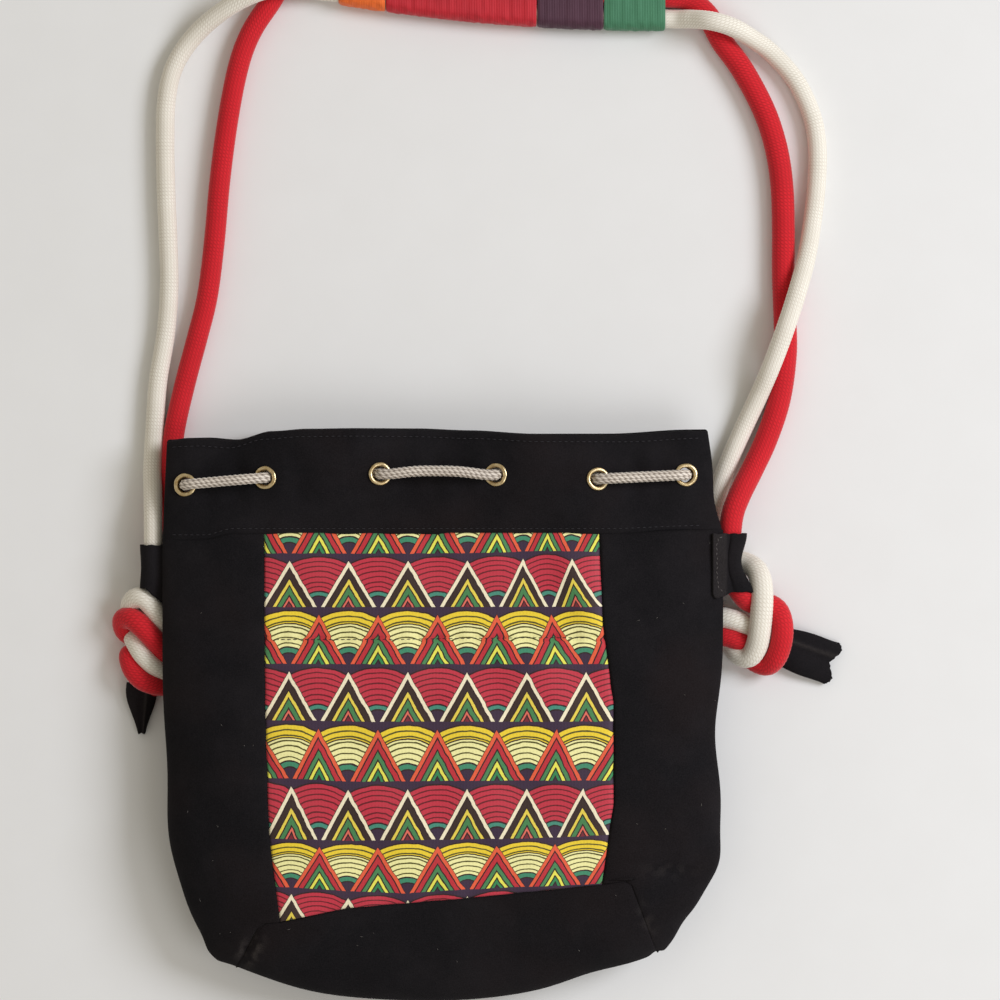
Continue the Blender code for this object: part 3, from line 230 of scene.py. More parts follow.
CREAM_RIGHT_KNOT = (
    (146.6, 93.6, 5.2), (149.2, 87.0, 5.2), (155.0, 83.2, 5.2), (161.0, 82.9, 5.4), (166.0, 81.2, 7.6),
    (170.2, 77.4, 12.4), (172.2, 70.2, 17.0), (172.3, 59.6, 19.4), (171.2, 46.4, 19.0),
    (169.4, 36.8, 16.4), (165.6, 31.4, 12.8), (160.2, 32.6, 9.2), (155.8, 38.4, 5.9),
    (149.2, 44.6, 5.4), (146.8, 51.0, 8.2), (152.2, 52.2, 12.2), (160.0, 50.2, 13.0),
    (166.4, 46.4, 9.8), (173.0, 41.4, 6.4), (180.0, 38.8, 5.4), (187.0, 36.6, 5.2),
)
RED_LEFT_KNOT = (
    (-161.4, 13.0, 6.0), (-156.0, 15.0, 6.0), (-149.8, 14.8, 6.2), (-151.6, 15.2, 7.8),
    (-157.6, 16.2, 11.2), (-163.6, 19.0, 13.0), (-168.4, 24.6, 12.0), (-170.4, 31.6, 9.4),
    (-167.6, 31.2, 6.0), (-160.0, 26.6, 5.7), (-152.4, 27.0, 6.2), (-150.0, 31.0, 9.8),
    (-152.8, 36.2, 14.2), (-157.8, 42.6, 17.6), (-163.8, 48.8, 18.0), (-169.2, 52.2, 15.2),
    (-173.4, 50.8, 10.6), (-172.4, 45.0, 6.6), (-166.6, 42.2, 5.8), (-159.0, 44.0, 5.8),
    (-151.0, 48.6, 5.8),
)
RED_RIGHT_KNOT = (
    (160.6, 66.8, 17.2), (165.0, 62.0, 14.4), (170.6, 59.8, 12.2), (176.4, 59.2, 12.6),
    (181.2, 55.8, 13.8), (183.4, 48.6, 15.4), (183.0, 39.6, 15.4), (180.4, 31.4, 12.8),
    (176.4, 27.0, 8.8), (170.8, 28.0, 6.0), (164.4, 32.8, 5.8), (157.6, 38.4, 5.8), (151.0, 40.8, 5.9),
    (146.2, 41.4, 7.6), (147.8, 42.4, 10.4), (154.4, 41.8, 12.0), (161.0, 39.4, 11.8), (168.0, 37.4, 8.4),
    (174.0, 36.4, 6.4), (181.0, 35.0, 5.8), (188.0, 33.0, 5.8),
)

# Thickness by share of length: the yarns bulge where the ropes were pulled round in the right-hand knot
CREAM_SWELL = ((0.0, 1.0), (0.03, 1.02), (0.07, 1.16), (0.12, 1.12), (0.15, 1.03), (0.87, 1.04),
               (0.90, 1.24), (0.96, 1.22), (0.985, 1.1), (1.0, 1.0))
RED_SWELL = ((0.0, 1.0), (0.05, 1.05), (0.08, 1.12), (0.13, 1.05), (0.36, 1.05), (0.58, 1.08),
             (0.64, 1.16), (0.86, 1.14), (0.94, 1.12), (0.96, 1.0), (1.0, 1.0))

# Thread wrapping
WRAP_WALL = 0.8 * MM
WRAP_CLEARANCE = 0.9 * MM
WRAP_Z = 7.4 * MM
WRAP_Y = 383.3 * MM
WRAP_FLAT_X = 115.0 * MM
WRAP_BEND = 0.483
WRAP_ENDS = (-57.0 * MM, -31.3 * MM, 50.8 * MM, 86.9 * MM, 120.6 * MM)
ROPE_PITCH = 10.9 * MM
THREAD_PITCH = 0.9 * MM
WRAP_SIDES = 44
WRAP_RINGS_A_TURN = 4.2

# Tabs
TAB_WIDTH_RIGHT = 31.5 * MM
TAB_WIDTH_LEFT = 23.0 * MM
TAB_THICKNESS = 1.6 * MM
TAB_CLEARANCE = 0.5 * MM
TAB_ROPE_X = 156.6 * MM
TAB_ROPE_Z = 18.2 * MM
TAB_TOP_LEFT_Y = 91.8 * MM
TAB_TOP_RIGHT_Y = 98.0 * MM
TAB_STRIP_START = 145.0 * MM
TAB_TAIL_X = 145.5 * MM
TAB_SEAM = ((151.0, 96.4), (148.2, 95.6), (147.0, 92.0), (147.4, 84.0), (147.2, 76.0), (148.0, 69.4),
            (150.4, 66.6), (153.4, 66.2))
TAB_FROM_ANGLE = 110.0
TAB_TO_ANGLE = -125.0
SLEEVE_SUEDE = 1.3 * MM

# View of the photograph, straight down
CAMERA_X = 30.8 * MM
CAMERA_Y = 116.1 * MM
CAMERA_HEIGHT = 2.27
VIEW_WIDTH = 0.54
FOCUS_PLANE_Z = 0.02
SENSOR_WIDTH = 36.0
FLOOR_HALF = 6.0


# Colours and materials

def linear(code):
    """Turns an sRGB hex code to linear red, green and blue."""
    parts = [int(code[place:place + 2], 16) / 255.0 for place in (0, 2, 4)]
    return [part / 12.92 if part <= 0.04045 else ((part + 0.055) / 1.055) ** 2.4 for part in parts]


def rgba(code):
    return (*linear(code), 1.0)


def add_node(tree, kind, settings=None, links=None):
    """Adds one node; settings name its attributes or inputs, and links join inputs to sockets."""
    made = tree.nodes.new(kind)
    for name, value in (settings or {}).items():
        if isinstance(name, str) and hasattr(made, name) and name not in made.inputs:
            setattr(made, name, value)
        else:
            made.inputs[name].default_value = value
    for name, socket in (links or {}).items():
        tree.links.new(socket, made.inputs[name])
    return made


def new_material(name):
    """A material with its tree and its shader."""
    material = bpy.data.materials.new(name)
    material.use_nodes = True
    tree = material.node_tree
    return material, tree, tree.nodes["Principled BSDF"]


def set_shader(shader, **values):
    for name, value in values.items():
        shader.inputs[name.replace("_", " ")].default_value = value


def mathematics(tree, operation, first, second=None, third=None):
    """One Math node on sockets or plain numbers, and its result."""
    links = {}
    settings = {"operation": operation}
    for place, value in enumerate((first, second, third)):
        if isinstance(value, bpy.types.NodeSocket):
            links[place] = value
        elif value is not None:
            settings[place] = value
    return add_node(tree, "ShaderNodeMath", settings, links).outputs[0]


def mix_colours(tree, factor, first, second, blend="MIX"):
    links = {0: factor} if isinstance(factor, bpy.types.NodeSocket) else {}
    settings = {"data_type": "RGBA", "blend_type": blend}
    if not links:
        settings[0] = factor
    for place, value in ((6, first), (7, second)):
        if isinstance(value, bpy.types.NodeSocket):
            links[place] = value
        else:
            settings[place] = value
    return add_node(tree, "ShaderNodeMix", settings, links).outputs[2]


def noise(tree, scale, detail=3.0, roughness=0.55, vector=None):
    """Noise on the object's own coordinates; scale is in repeats per metre."""
    if vector is None:
        vector = add_node(tree, "ShaderNodeTexCoord").outputs["Object"]
    made = add_node(tree, "ShaderNodeTexNoise",
                    {"Scale": scale, "Detail": detail, "Roughness": roughness}, {"Vector": vector})
    return made.outputs["Fac"]


def spread(tree, value, low, high, to_low=0.0, to_high=1.0):
    made = add_node(tree, "ShaderNodeMapRange",
                    {"From Min": low, "From Max": high, "To Min": to_low, "To Max": to_high},
                    {"Value": value})
    return made.outputs[0]


def bump(tree, shader, height, distance, strength=1.0):
    made = add_node(tree, "ShaderNodeBump", {"Strength": strength, "Distance": distance},
                    {"Height": height})
    tree.links.new(made.outputs[0], shader.inputs["Normal"])


def suede_material(name, code, pale_code):
    """Suede: split leather brushed to a short nap, dull, with paler patches where the nap lies over."""
    material, tree, shader = new_material(name)
    patches = spread(tree, noise(tree, 26.0, 4.0, 0.6), 0.42, 0.66)
    marks = spread(tree, noise(tree, 120.0, 5.0, 0.7), 0.5, 0.75)
    grain = noise(tree, 1500.0, 2.0, 0.8)
    base = mix_colours(tree, patches, rgba(code), rgba(pale_code))
    base = mix_colours(tree, mathematics(tree, "MULTIPLY", marks, 0.35), base, rgba(pale_code))
    brown = spread(tree, noise(tree, 14.0, 3.0, 0.5), 0.5, 0.7, 0.0, 0.5)
    base = mix_colours(tree, brown, base, rgba("1a1211"))
    paler = mix_colours(tree, 0.1, base, rgba("4a4548"))
    speckle = mix_colours(tree, spread(tree, grain, 0.35, 0.7), base, paler)
    # Paler grey where the panels, tab and sleeves mark rubbed nap with a painted highlight along their folds.
    worn = add_node(tree, "ShaderNodeAttribute", {"attribute_name": "worn"}).outputs["Fac"]
    worn = mathematics(tree, "MULTIPLY", worn, spread(tree, grain, 0.3, 0.65, 0.35, 1.0))
    speckle = mix_colours(tree, worn, speckle, rgba("5c5652"))
    tree.links.new(speckle, shader.inputs["Base Color"])
    set_shader(shader, Roughness=0.95, Specular_IOR_Level=0.1, Sheen_Weight=0.03, Sheen_Roughness=0.45)
    shader.inputs["Sheen Tint"].default_value = rgba("8a8488")
    bump(tree, shader, mathematics(tree, "ADD", grain, marks), 0.25 * MM, 0.55)
    return material


def cord_material(name, code, dark_code, sheen, roughness=0.85):
    """Braided cotton: soft yarns with painted shade in the furrows, and painted glints on loose fibres where
    they catch light.
    """
    material, tree, shader = new_material(name)
    relief = add_node(tree, "ShaderNodeAttribute", {"attribute_name": "relief"}).outputs["Fac"]
    fibres = noise(tree, 1300.0, 3.0, 0.7)
    cloud = noise(tree, 60.0, 2.0, 0.5)
    # Painted shade: the dark colour fills the furrows between the yarns.
    furrow_shade = spread(tree, relief, 0.0, 0.62)
    base = mix_colours(tree, furrow_shade, rgba(dark_code), rgba(code))
    base = mix_colours(tree, spread(tree, cloud, 0.4, 0.7, 0.0, 0.18), base, rgba(dark_code))
    # Painted glints: fine fibre specks lifted towards white.
    base = mix_colours(tree, spread(tree, fibres, 0.45, 0.8, 0.0, 0.22), base, rgba("ffffff"), "SOFT_LIGHT")
    tree.links.new(base, shader.inputs["Base Color"])
    set_shader(shader, Roughness=roughness, Specular_IOR_Level=0.3, Sheen_Weight=sheen, Sheen_Roughness=0.4)
    bump(tree, shader, fibres, 0.2 * MM, 0.5)
    return material


def brass_material():
    """Brass plated pale, pressed and tumbled: bright, with fine scratches and duller hollows."""
    material, tree, shader = new_material("Pale brass")
    smudge = noise(tree, 420.0, 4.0, 0.65)
    base = mix_colours(tree, spread(tree, smudge, 0.35, 0.7), rgba("efdcb0"), rgba("b79a66"))
    tree.links.new(base, shader.inputs["Base Color"])
    tree.links.new(spread(tree, smudge, 0.3, 0.75, 0.2, 0.42), shader.inputs["Roughness"])
    set_shader(shader, Metallic=1.0)
    bump(tree, shader, noise(tree, 2600.0, 2.0, 0.6), 0.05 * MM, 0.25)
    return material


def plain_cotton_material(name, code):
    """Plain-woven cotton: crossing threads 1.6 mm apart, so that the black has a weave to the eye."""
    material, tree, shader = new_material(name)
    weave = cloth_weave(tree, 200.0, 0.6)
    base = mix_colours(tree, spread(tree, weave, 0.2, 1.0), rgba("050506"), rgba(code))
    tree.links.new(base, shader.inputs["Base Color"])
    set_shader(shader, Roughness=0.9, Specular_IOR_Level=0.2)
    bump(tree, shader, weave, 0.15 * MM, 0.5)
    return material


def colour_steps(tree, value, steps):
    """A colour ramp that holds each colour from its place to the next one."""
    made = add_node(tree, "ShaderNodeValToRGB", None, {"Fac": value})
    ramp = made.color_ramp
    ramp.interpolation = "CONSTANT"
    while len(ramp.elements) < len(steps):
        ramp.elements.new(1.0)
    for element, (place, code) in zip(ramp.elements, steps):
        element.position = min(max(place, 0.0), 1.0)
        element.color = rgba(code)
    return made.outputs["Color"]


def banded_steps(bands, line_code, half_line):
    """Bands as (start, colour) from the inside out, each with a thin line at its outer edge."""
    steps = []
    for place, (start, code) in enumerate(bands):
        if place:
            steps.append((start - half_line, line_code))
        steps.append((start + (half_line if place else 0.0), code))
    return steps


def fan_steps(bands, arcs, arc_code, line_code):
    """Rings of a fan by radius, with thin arcs drawn over the wide ones."""
    steps = banded_steps([(radius / FAN_REACH, code) for radius, code in bands], line_code,
                         HALF_ARC / FAN_REACH)
    for radius in arcs:
        under = [code for start, code in bands if start < radius][-1]
        steps.append(((radius - HALF_ARC) / FAN_REACH, arc_code))
        steps.append(((radius + HALF_ARC) / FAN_REACH, under))
    return sorted(steps, key=lambda step: step[0])


def print_material():
    """Wax-printed cotton: nested triangles and fans by formula from the cloth's own coordinates.

    U counts columns and V counts rows. A point is in a triangle where its sideways share plus its
    upward share of the triangle is under one, and else in a fan by its distance from the fan's foot.
    """
    material, tree, shader = new_material("Wax-printed cotton")
    cloth = add_node(tree, "ShaderNodeUVMap", {"uv_map": "cloth"}).outputs["UV"]
    parts = add_node(tree, "ShaderNodeSeparateXYZ", None, {0: cloth})

    def do(operation, *values):
        return mathematics(tree, operation, *values)

    wobble = do("MULTIPLY", do("SUBTRACT", noise(tree, 180.0, 2.0), 0.5), 0.035)
    u = do("ADD", parts.outputs[0], wobble)
    v = do("ADD", parts.outputs[1], wobble)
    row = do("FLOOR", v)
    is_cream = do("FLOORED_MODULO", row, 2.0)
    shift = do("MULTIPLY_ADD", is_cream, 0.5, 0.5)
    turned = do("FRACT", do("ADD", u, do("ADD", shift, 0.5)))
    sideways = do("MULTIPLY", do("ABSOLUTE", do("SUBTRACT", turned, 0.5)), COLUMN_PITCH)
    above = do("MULTIPLY", do("SUBTRACT", v, row), ROW_PITCH)
    share = do("ADD", do("DIVIDE", sideways, TRIANGLE_HALF_BASE), do("DIVIDE", above, TRIANGLE_HEIGHT))
    from_fan = do("SUBTRACT", 0.5 * COLUMN_PITCH, sideways)
    squared = do("MULTIPLY_ADD", above, above, do("MULTIPLY", from_fan, from_fan))
    radius = do("DIVIDE", do("SQRT", squared), FAN_REACH)
    line, half_line, ground = "2c1418", 0.026, "38243c"
    cream = banded_steps(((0.0, "7b2030"), (0.116, "e8705c"), (0.24, "46864f"), (0.45, "efd850"),
                          (0.61, "35241d"), (0.815, "fbf0cd"), (1.0, ground)), line, half_line)
    orange = banded_steps(((0.0, ground), (0.08, "2f8a52"), (0.235, "f0ec58"), (0.40, "4a8a55"),
                           (0.59, "c52c36"), (0.81, "ee613c"), (1.0, ground)), line, half_line)
    crimson = fan_steps(((0.0, ground), (6.5, "45907a"), (9.4, "c73244"), (30.0, ground)),
                        (12.2, 14.9, 18.1, 21.4, 24.3, 27.2), "6c121d", line)
    yellow = fan_steps(((0.0, ground), (6.2, "3f8f6c"), (9.5, "fbf6ac"), (22.6, "f6d733"), (30.0, ground)),
                       (11.8, 15.1, 18.0, 20.9, 23.9, 26.9), "54501a", line)
    triangle = mix_colours(tree, is_cream, colour_steps(tree, share, orange),
                           colour_steps(tree, share, cream))
    fan = mix_colours(tree, is_cream, colour_steps(tree, radius, yellow), colour_steps(tree, radius, crimson))
    colour = mix_colours(tree, do("LESS_THAN", share, 1.0), fan, triangle)
    fade = noise(tree, 45.0, 4.0, 0.6)
    colour = mix_colours(tree, spread(tree, fade, 0.35, 0.75, 0.0, 0.06), colour, rgba("8d7468"))
    weave = cloth_weave(tree, 175.0, 0.5)
    colour = mix_colours(tree, spread(tree, weave, 0.0, 1.0, 0.10, 0.0), colour, rgba("20161c"))
    tree.links.new(colour, shader.inputs["Base Color"])
    set_shader(shader, Roughness=0.62, Specular_IOR_Level=0.35, Sheen_Weight=0.12, Sheen_Roughness=0.5)
    bump(tree, shader, weave, 0.12 * MM, 0.35)
    return material


def cloth_weave(tree, scale, distortion):
    """Crossing threads, drawn coarse enough to show: one wave is 314 mm divided by the scale."""
    place = add_node(tree, "ShaderNodeTexCoord").outputs["Object"]
    settings = {"Scale": scale, "Distortion": distortion}
    threads = [add_node(tree, "ShaderNodeTexWave", {**settings, "bands_direction": way}, {"Vector": place})
               for way in "XY"]
    return mathematics(tree, "MAXIMUM", *(made.outputs["Fac"] for made in threads))


def floor_material(code):
    """A pale cloth on the floor, plain, with faint clouds."""
    material, tree, shader = new_material("Pale floor cloth")
    clouds = spread(tree, noise(tree, 30.0, 3.0), 0.3, 0.7, 0.0, 0.06)
    base = mix_colours(tree, clouds, rgba(code), rgba("cfccc6"))
    tree.links.new(base, shader.inputs["Base Color"])
    set_shader(shader, Roughness=0.95, Specular_IOR_Level=0.1)
    return material


# Meshes from whole arrays

def put_mesh(name, points, faces, material, outward_from=None, smooth=True):
    """Makes an object from points and a list of face arrays, turned to face away from a point if given."""
    points = np.asarray(points, dtype=np.float64).reshape(-1, 3)
    faces = [np.asarray(part, dtype=np.int64) for part in faces if len(part)]
    if outward_from is not None:
        faces = [turn_outward(points, part, outward_from) for part in faces]
    corners = np.concatenate([part.ravel() for part in faces]).astype(np.int32)
    sizes = np.concatenate([np.full(len(part), part.shape[1]) for part in faces])
    starts = np.concatenate(([0], np.cumsum(sizes)[:-1])).astype(np.int32)
    mesh = bpy.data.meshes.new(name)
    mesh.vertices.add(len(points))
    mesh.vertices.foreach_set("co", points.astype(np.float32).ravel())
    mesh.loops.add(len(corners))
    mesh.loops.foreach_set("vertex_index", corners)
    mesh.polygons.add(len(sizes))
    mesh.polygons.foreach_set("loop_start", starts)
    mesh.update(calc_edges=True)
    mesh.validate()
    if smooth:
        mesh.shade_smooth()
    mesh.materials.append(material)
    thing = bpy.data.objects.new(name, mesh)
    bpy.context.scene.collection.objects.link(thing)
    return thing


def put_values(thing, name, values):
    """One number for each point, in the order of the points."""
    layer = thing.data.attributes.new(name, "FLOAT", "POINT")
    layer.data.foreach_set("value", np.asarray(values, dtype=np.float32).ravel())


def merge_points(thing):
    """Joins points that lie in one place, such as a grid's edge that runs together in a seam's end."""
    bm = bmesh.new()
    bm.from_mesh(thing.data)
    bmesh.ops.remove_doubles(bm, verts=bm.verts, dist=0.00001)
    bm.to_mesh(thing.data)
    bm.free()


def turn_outward(points, faces, centre):
    """Reverses the faces if on the whole they look towards the centre."""
    first, second, third = (points[faces[:, place]] for place in range(3))
    normals = np.cross(second - first, third - first)
    facing = np.einsum("ij,ij->", normals, first - np.asarray(centre))
    return faces[:, ::-1] if facing < 0 else faces


def grid_faces(rows, columns, loop_rows=False, loop_columns=False):
    """Quads of a grid of points listed row by row, joined round where it closes on itself."""
    numbers = np.arange(rows * columns).reshape(rows, columns)
    if loop_rows:
        numbers = np.vstack((numbers, numbers[:1]))
    if loop_columns:
        numbers = np.hstack((numbers, numbers[:, :1]))
    quads = np.stack((numbers[:-1, :-1], numbers[:-1, 1:], numbers[1:, 1:], numbers[1:, :-1]), axis=-1)
    return quads.reshape(-1, 4)


def apply_modifiers(thing):
    """Puts the modified mesh in place of the plain one."""
    graph = bpy.context.evaluated_depsgraph_get()
    mesh = bpy.data.meshes.new_from_object(thing.evaluated_get(graph), depsgraph=graph)
    thing.modifiers.clear()
    thing.data = mesh


def wall(thing, thickness, slot, node, offset=-1.0):
    """Gives a surface its cloth's thickness and settles it as the named node."""
    step = thing.modifiers.new("Wall", "SOLIDIFY")
    step.thickness = thickness
    step.offset = offset
    step.use_even_offset = False
    apply_modifiers(thing)
    return settle(thing, slot, node)


def settle(thing, slot, *nodes):
    """A finished piece rides on the bag and stands for its nodes, which it hides; the slot is not used."""
    if not thing.data.polygons:
        raise RuntimeError(thing.name + " has no faces")
    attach(thing, BODY)
    if nodes:
        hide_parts(*nodes)
    return thing


# Curves of the skin, the same as in the solid model

def running_length(points):
    """The length along a line of points up to each of them."""
    steps = np.linalg.norm(np.diff(points, axis=0), axis=1)
    return np.concatenate(([0.0], np.cumsum(steps)))


def smooth_step(value):
    value = np.clip(value, 0.0, 1.0)
    return value * value * (3.0 - 2.0 * value)


def round_off(distance, reach):
    """A quarter ellipse: 0 at the edge, 1 from the reach inwards."""
    left = 1.0 - np.clip(distance, 0.0, reach) / reach
    return np.sqrt(np.maximum(0.0, 1.0 - left * left))


def crown_height(x, y):
    fall = CROWN_FALL * smooth_step((y - CROWN_Y) / CROWN_FALL_LENGTH)
    return CROWN_Z - fall - CROWN_BOW * (x / HALF_WIDTH) ** 2


def back_lift(y):
    return COLLAR_LIFT * smooth_step((y - LIFT_FROM_Y) / (SEAM_Y - LIFT_FROM_Y))


def body_half_width(edge_y):
    fall = np.maximum(0.0, (NARROW_FROM_Y - edge_y) / (NARROW_FROM_Y - CORNER_Y))
    return HALF_WIDTH - CORNER_INSET * fall ** NARROW_POWER


def body_points(across, along, face):
    """The body's skin: across is -1 to 1, along is 0 at the collar and 1 at the base.

    Plan: across scales the width at that height and the base sags in a parabola. Height: from the rim
    towards the crown or the floor as two quarter ellipses, one in from the side and one from the base.
    """
    edge_y = SEAM_Y + along * (CORNER_Y - SEAM_Y)
    half = body_half_width(edge_y)
    sag = BASE_SAG * (1.0 - across ** 2) - BASE_TILT * across
    x = across * half
    y = edge_y - sag * along ** 3
    side = (1.0 - np.abs(across)) * half
    base = (1.0 - along) * (SEAM_Y - CORNER_Y)
    front = RIM_Z + (crown_height(x, y) - RIM_Z) * round_off(side, FRONT_ROUND) * round_off(base, BASE_ROUND)
    rise = RIM_Z - back_lift(y)
    back = RIM_Z - rise * round_off(side, BACK_ROUND) * round_off(base, BASE_ROUND)
    return x, y, np.where(face > 0, front, back)


def plan_to_skin(x, y):
    """Turns points in plan to the skin's across and along, by repeated correction for the sag."""
    edge_y = y
    for _ in range(30):
        along = (SEAM_Y - edge_y) / (SEAM_Y - CORNER_Y)
        across = x / body_half_width(np.maximum(edge_y, CORNER_Y))
        bend = np.clip(across, -1.0, 1.0)
        sag = BASE_SAG * (1.0 - bend ** 2) - BASE_TILT * bend
        edge_y = y + sag * np.clip(along, 0.0, 1.0) ** 3
    return across, along


def collar_top(x):
    """The collar's upper edge, eased between the places in COLLAR_RISE."""
    places, rises = np.array(COLLAR_RISE).T
    place = np.clip(np.asarray(x) / HALF_WIDTH, -1.0, 1.0)
    index = np.clip(np.searchsorted(places, place) - 1, 0, len(places) - 2)
    share = smooth_step((place - places[index]) / (places[index + 1] - places[index]))
    return COLLAR_TOP_Y + (rises[index] + (rises[index + 1] - rises[index]) * share) * MM


def sway(x, y):
    """How far the seam under the collar strays down at the left and up at the right, faded out from it."""
    down = 3.4 * MM * smooth_step((-112.0 * MM - x) / (16.0 * MM))
    up = 1.6 * MM * smooth_step((x - 88.0 * MM) / (50.0 * MM))
    reach = np.where(y > SEAM_Y, 18.0 * MM, 30.0 * MM)
    return (up - down) * np.exp(-((y - SEAM_Y) / reach) ** 2)


def collar_edge(x, y):
    share = (y - SEAM_Y) / (COLLAR_TOP_Y - SEAM_Y)
    right = COLLAR_TAPER_RIGHT * share + COLLAR_WAIST * np.exp(-((share - 0.3) / 0.28) ** 2)
    return HALF_WIDTH - np.where(x > 0, right, COLLAR_TAPER_LEFT * share)


def gather(x):
    """Folds drawn in by the cord: below zero where the cord runs outside, above where it is inside."""
    wave = np.zeros_like(x)
    for index in range(len(EYELET_X) - 1):
        start, end = EYELET_X[index], EYELET_X[index + 1]
        sign = 1.0 if index % 2 else -1.0
        inside = (x >= start) & (x <= end)
        wave = np.where(inside, sign * np.sin(np.pi * (x - start) / (end - start)), wave)
    return wave


def collar_height(x, y, inset, face):
    spread_up = smooth_step((y - SEAM_Y) / (0.5 * (COLLAR_TOP_Y - SEAM_Y)))
    side = collar_edge(x, y) - inset - np.abs(x)
    front = crown_height(x, y) - inset + GATHER_FRONT * gather(x) * spread_up
    back = COLLAR_LIFT + inset - GATHER_BACK * gather(x) * spread_up
    level = np.where(face > 0, front, back)
    reach = FRONT_ROUND if face > 0 else BACK_ROUND
    return RIM_Z + (level - RIM_Z) * round_off(side, reach)


def waves(x, y, count, shortest, longest, seed):
    """Soft unevenness: a sum of seeded plane waves with lengths between the two given."""
    draw = np.random.default_rng(seed)
    total = np.zeros_like(x)
    for _ in range(count):
        length = shortest * (longest / shortest) ** draw.random()
        angle = draw.random() * math.tau
        phase = draw.random() * math.tau
        total += np.sin((x * math.cos(angle) + y * math.sin(angle)) * math.tau / length + phase)
    return total / math.sqrt(count)


def crease(x, y, start, end, depth, width):
    """A pressed line from start to end in plan: a dip across it that fades out towards both ends."""
    start = np.asarray(start) * MM
    end = np.asarray(end) * MM
    way = end - start
    length = np.hypot(*way)
    along = ((x - start[0]) * way[0] + (y - start[1]) * way[1]) / length ** 2
    across = ((x - start[0]) * way[1] - (y - start[1]) * way[0]) / length
    fade = smooth_step(1.0 - np.abs(2.0 * along - 1.0)) * (np.abs(2.0 * along - 1.0) < 1.0)
    return -depth * np.exp(-(across / width) ** 2) * fade


def pulled_fold(x, y, start, end, height):
    """A fold drawn into the cloth: steep on its left side and easy on its right, fading at both ends."""
    start = np.asarray(start) * MM
    way = np.asarray(end) * MM - start
    length = np.hypot(*way)
    along = ((x - start[0]) * way[0] + (y - start[1]) * way[1]) / length ** 2
    across = -((x - start[0]) * way[1] - (y - start[1]) * way[0]) / length
    shape = np.exp(-(across / np.where(across < 0, 9.0 * MM, 17.0 * MM)) ** 2)
    fade = smooth_step(2.4 * np.minimum(along + 0.05, 1.0 - along)) * smooth_step((SEAM_Y - y) / (9.0 * MM))
    return height * shape * fade


def front_softness(x, y):
    """Height that the sewn front gains or loses: slack waves, folds at the base and pressed creases."""
    total = 0.45 * MM * waves(x, y, 9, 35.0 * MM, 110.0 * MM, SEED)
    for start, end, depth, width in CREASES:
        total += crease(x, y, start, end, depth * MM, width * MM)
    return total + pulled_fold(x, y, (62.0, 98.0), (86.0, 36.0), 3.4 * MM)


# Suede panels of the body

def polyline(points, count):
    """Even points along a list of corners, by length."""
    corners = np.asarray(points) * MM
    lengths = running_length(corners)
    places = np.linspace(0.0, lengths[-1], count)
    return np.stack([np.interp(places, lengths, corners[:, axis]) for axis in (0, 1)], axis=1)


def seam_to_rim(points, count):
    """A seam in the skin's own coordinates, cut where it reaches the base's rim."""
    line = polyline(points, SEAM_POINTS)
    across, along = plan_to_skin(line[:, 0], line[:, 1])
    keep = along < 1.0
    across = np.append(across[keep], np.interp(1.0, along, across))
    along = np.append(along[keep], 1.0)
    places = np.linspace(0.0, 1.0, len(across))
    even = np.linspace(0.0, 1.0, count)
    return np.interp(even, places, across), np.interp(even, places, along)


def wrapped_panel(name, seam, rim, material, node, sides=None):
    """A panel from its seam on the front, round the rim, to the same seam on the back.

    Both lines are in the skin's coordinates; the points between them are mixed by the sine of a turn,
    which crowds them towards the rim, and the skin dips by a millimetre where the seam draws it in. The
    back, which isn't seen, has every second column.
    Where the panel's ends are seams of their own, the columns lean over to follow them.
    """
    steps = PANEL_STEPS
    share = np.sin(0.5 * np.pi * np.linspace(0.0, 1.0, steps))
    share = np.concatenate((share, share[-3::-2]))
    face = np.where(np.arange(len(share)) < steps, 1.0, -1.0)
    across = seam[0][:, None] * (1.0 - share) + rim[0][:, None] * share
    along = seam[1][:, None] * (1.0 - share) + rim[1][:, None] * share
    if sides is not None:
        place = np.linspace(0.0, 1.0, len(across))[:, None]
        for weight, row, (side_across, side_along) in ((1.0 - place, 0, sides[0]), (place, -1, sides[1])):
            even = np.linspace(0.0, 1.0, len(side_across))
            across = across + weight * (np.interp(share, even, side_across) - across[row])
            along = along + weight * (np.interp(share, even, side_along) - along[row])
    x, y, z = body_points(across, along, face[None, :] + 0.0 * across)
    width = np.hypot(x[:, :1] - x[:, steps - 1:steps], y[:, :1] - y[:, steps - 1:steps])
    drawn = np.exp(-share[None, :] * width / (2.2 * MM)) + np.exp(-(SEAM_Y - y) / (2.0 * MM))
    if sides is not None:
        to_end = np.minimum(place, 1.0 - place) * np.hypot(x[-1] - x[0], y[-1] - y[0])
        drawn = drawn + np.exp(-to_end / (2.2 * MM))
    on_front = (face[None, :] > 0) & (share[None, :] < 1.0)
    fade = smooth_step((1.0 - share[None, :]) * 4.0)
    z = z + np.where(on_front, (front_softness(x, y) - SEAM_DIP * np.clip(drawn, 0.0, 1.0)) * fade, 0.0)
    # Paler where the nap is rubbed, with a painted highlight along the folds beside the box corners.
    worn = wear_and_highlight_places(x, y) * on_front
    x, y = stray(x, y)
    points = np.stack((x, y + sway(x, y), z), axis=-1)
    thing = put_mesh(name, points, [grid_faces(*x.shape)], material, (0.0, 0.0, RIM_Z))
    put_values(thing, "worn", worn)
    merge_points(thing)
    return wall(thing, SUEDE, "suede", node)


def stray(x, y):
    """Moves points in plan by each entry of OUTLINE_MOVES, fading with the distance as a bell curve."""
    new_x, new_y = x, y
    for place, move, reach in OUTLINE_MOVES:
        weight = np.exp(-((x / MM - place[0]) ** 2 + (y / MM - place[1]) ** 2) / reach ** 2)
        new_x, new_y = new_x + move[0] * MM * weight, new_y + move[1] * MM * weight
    return new_x, new_y


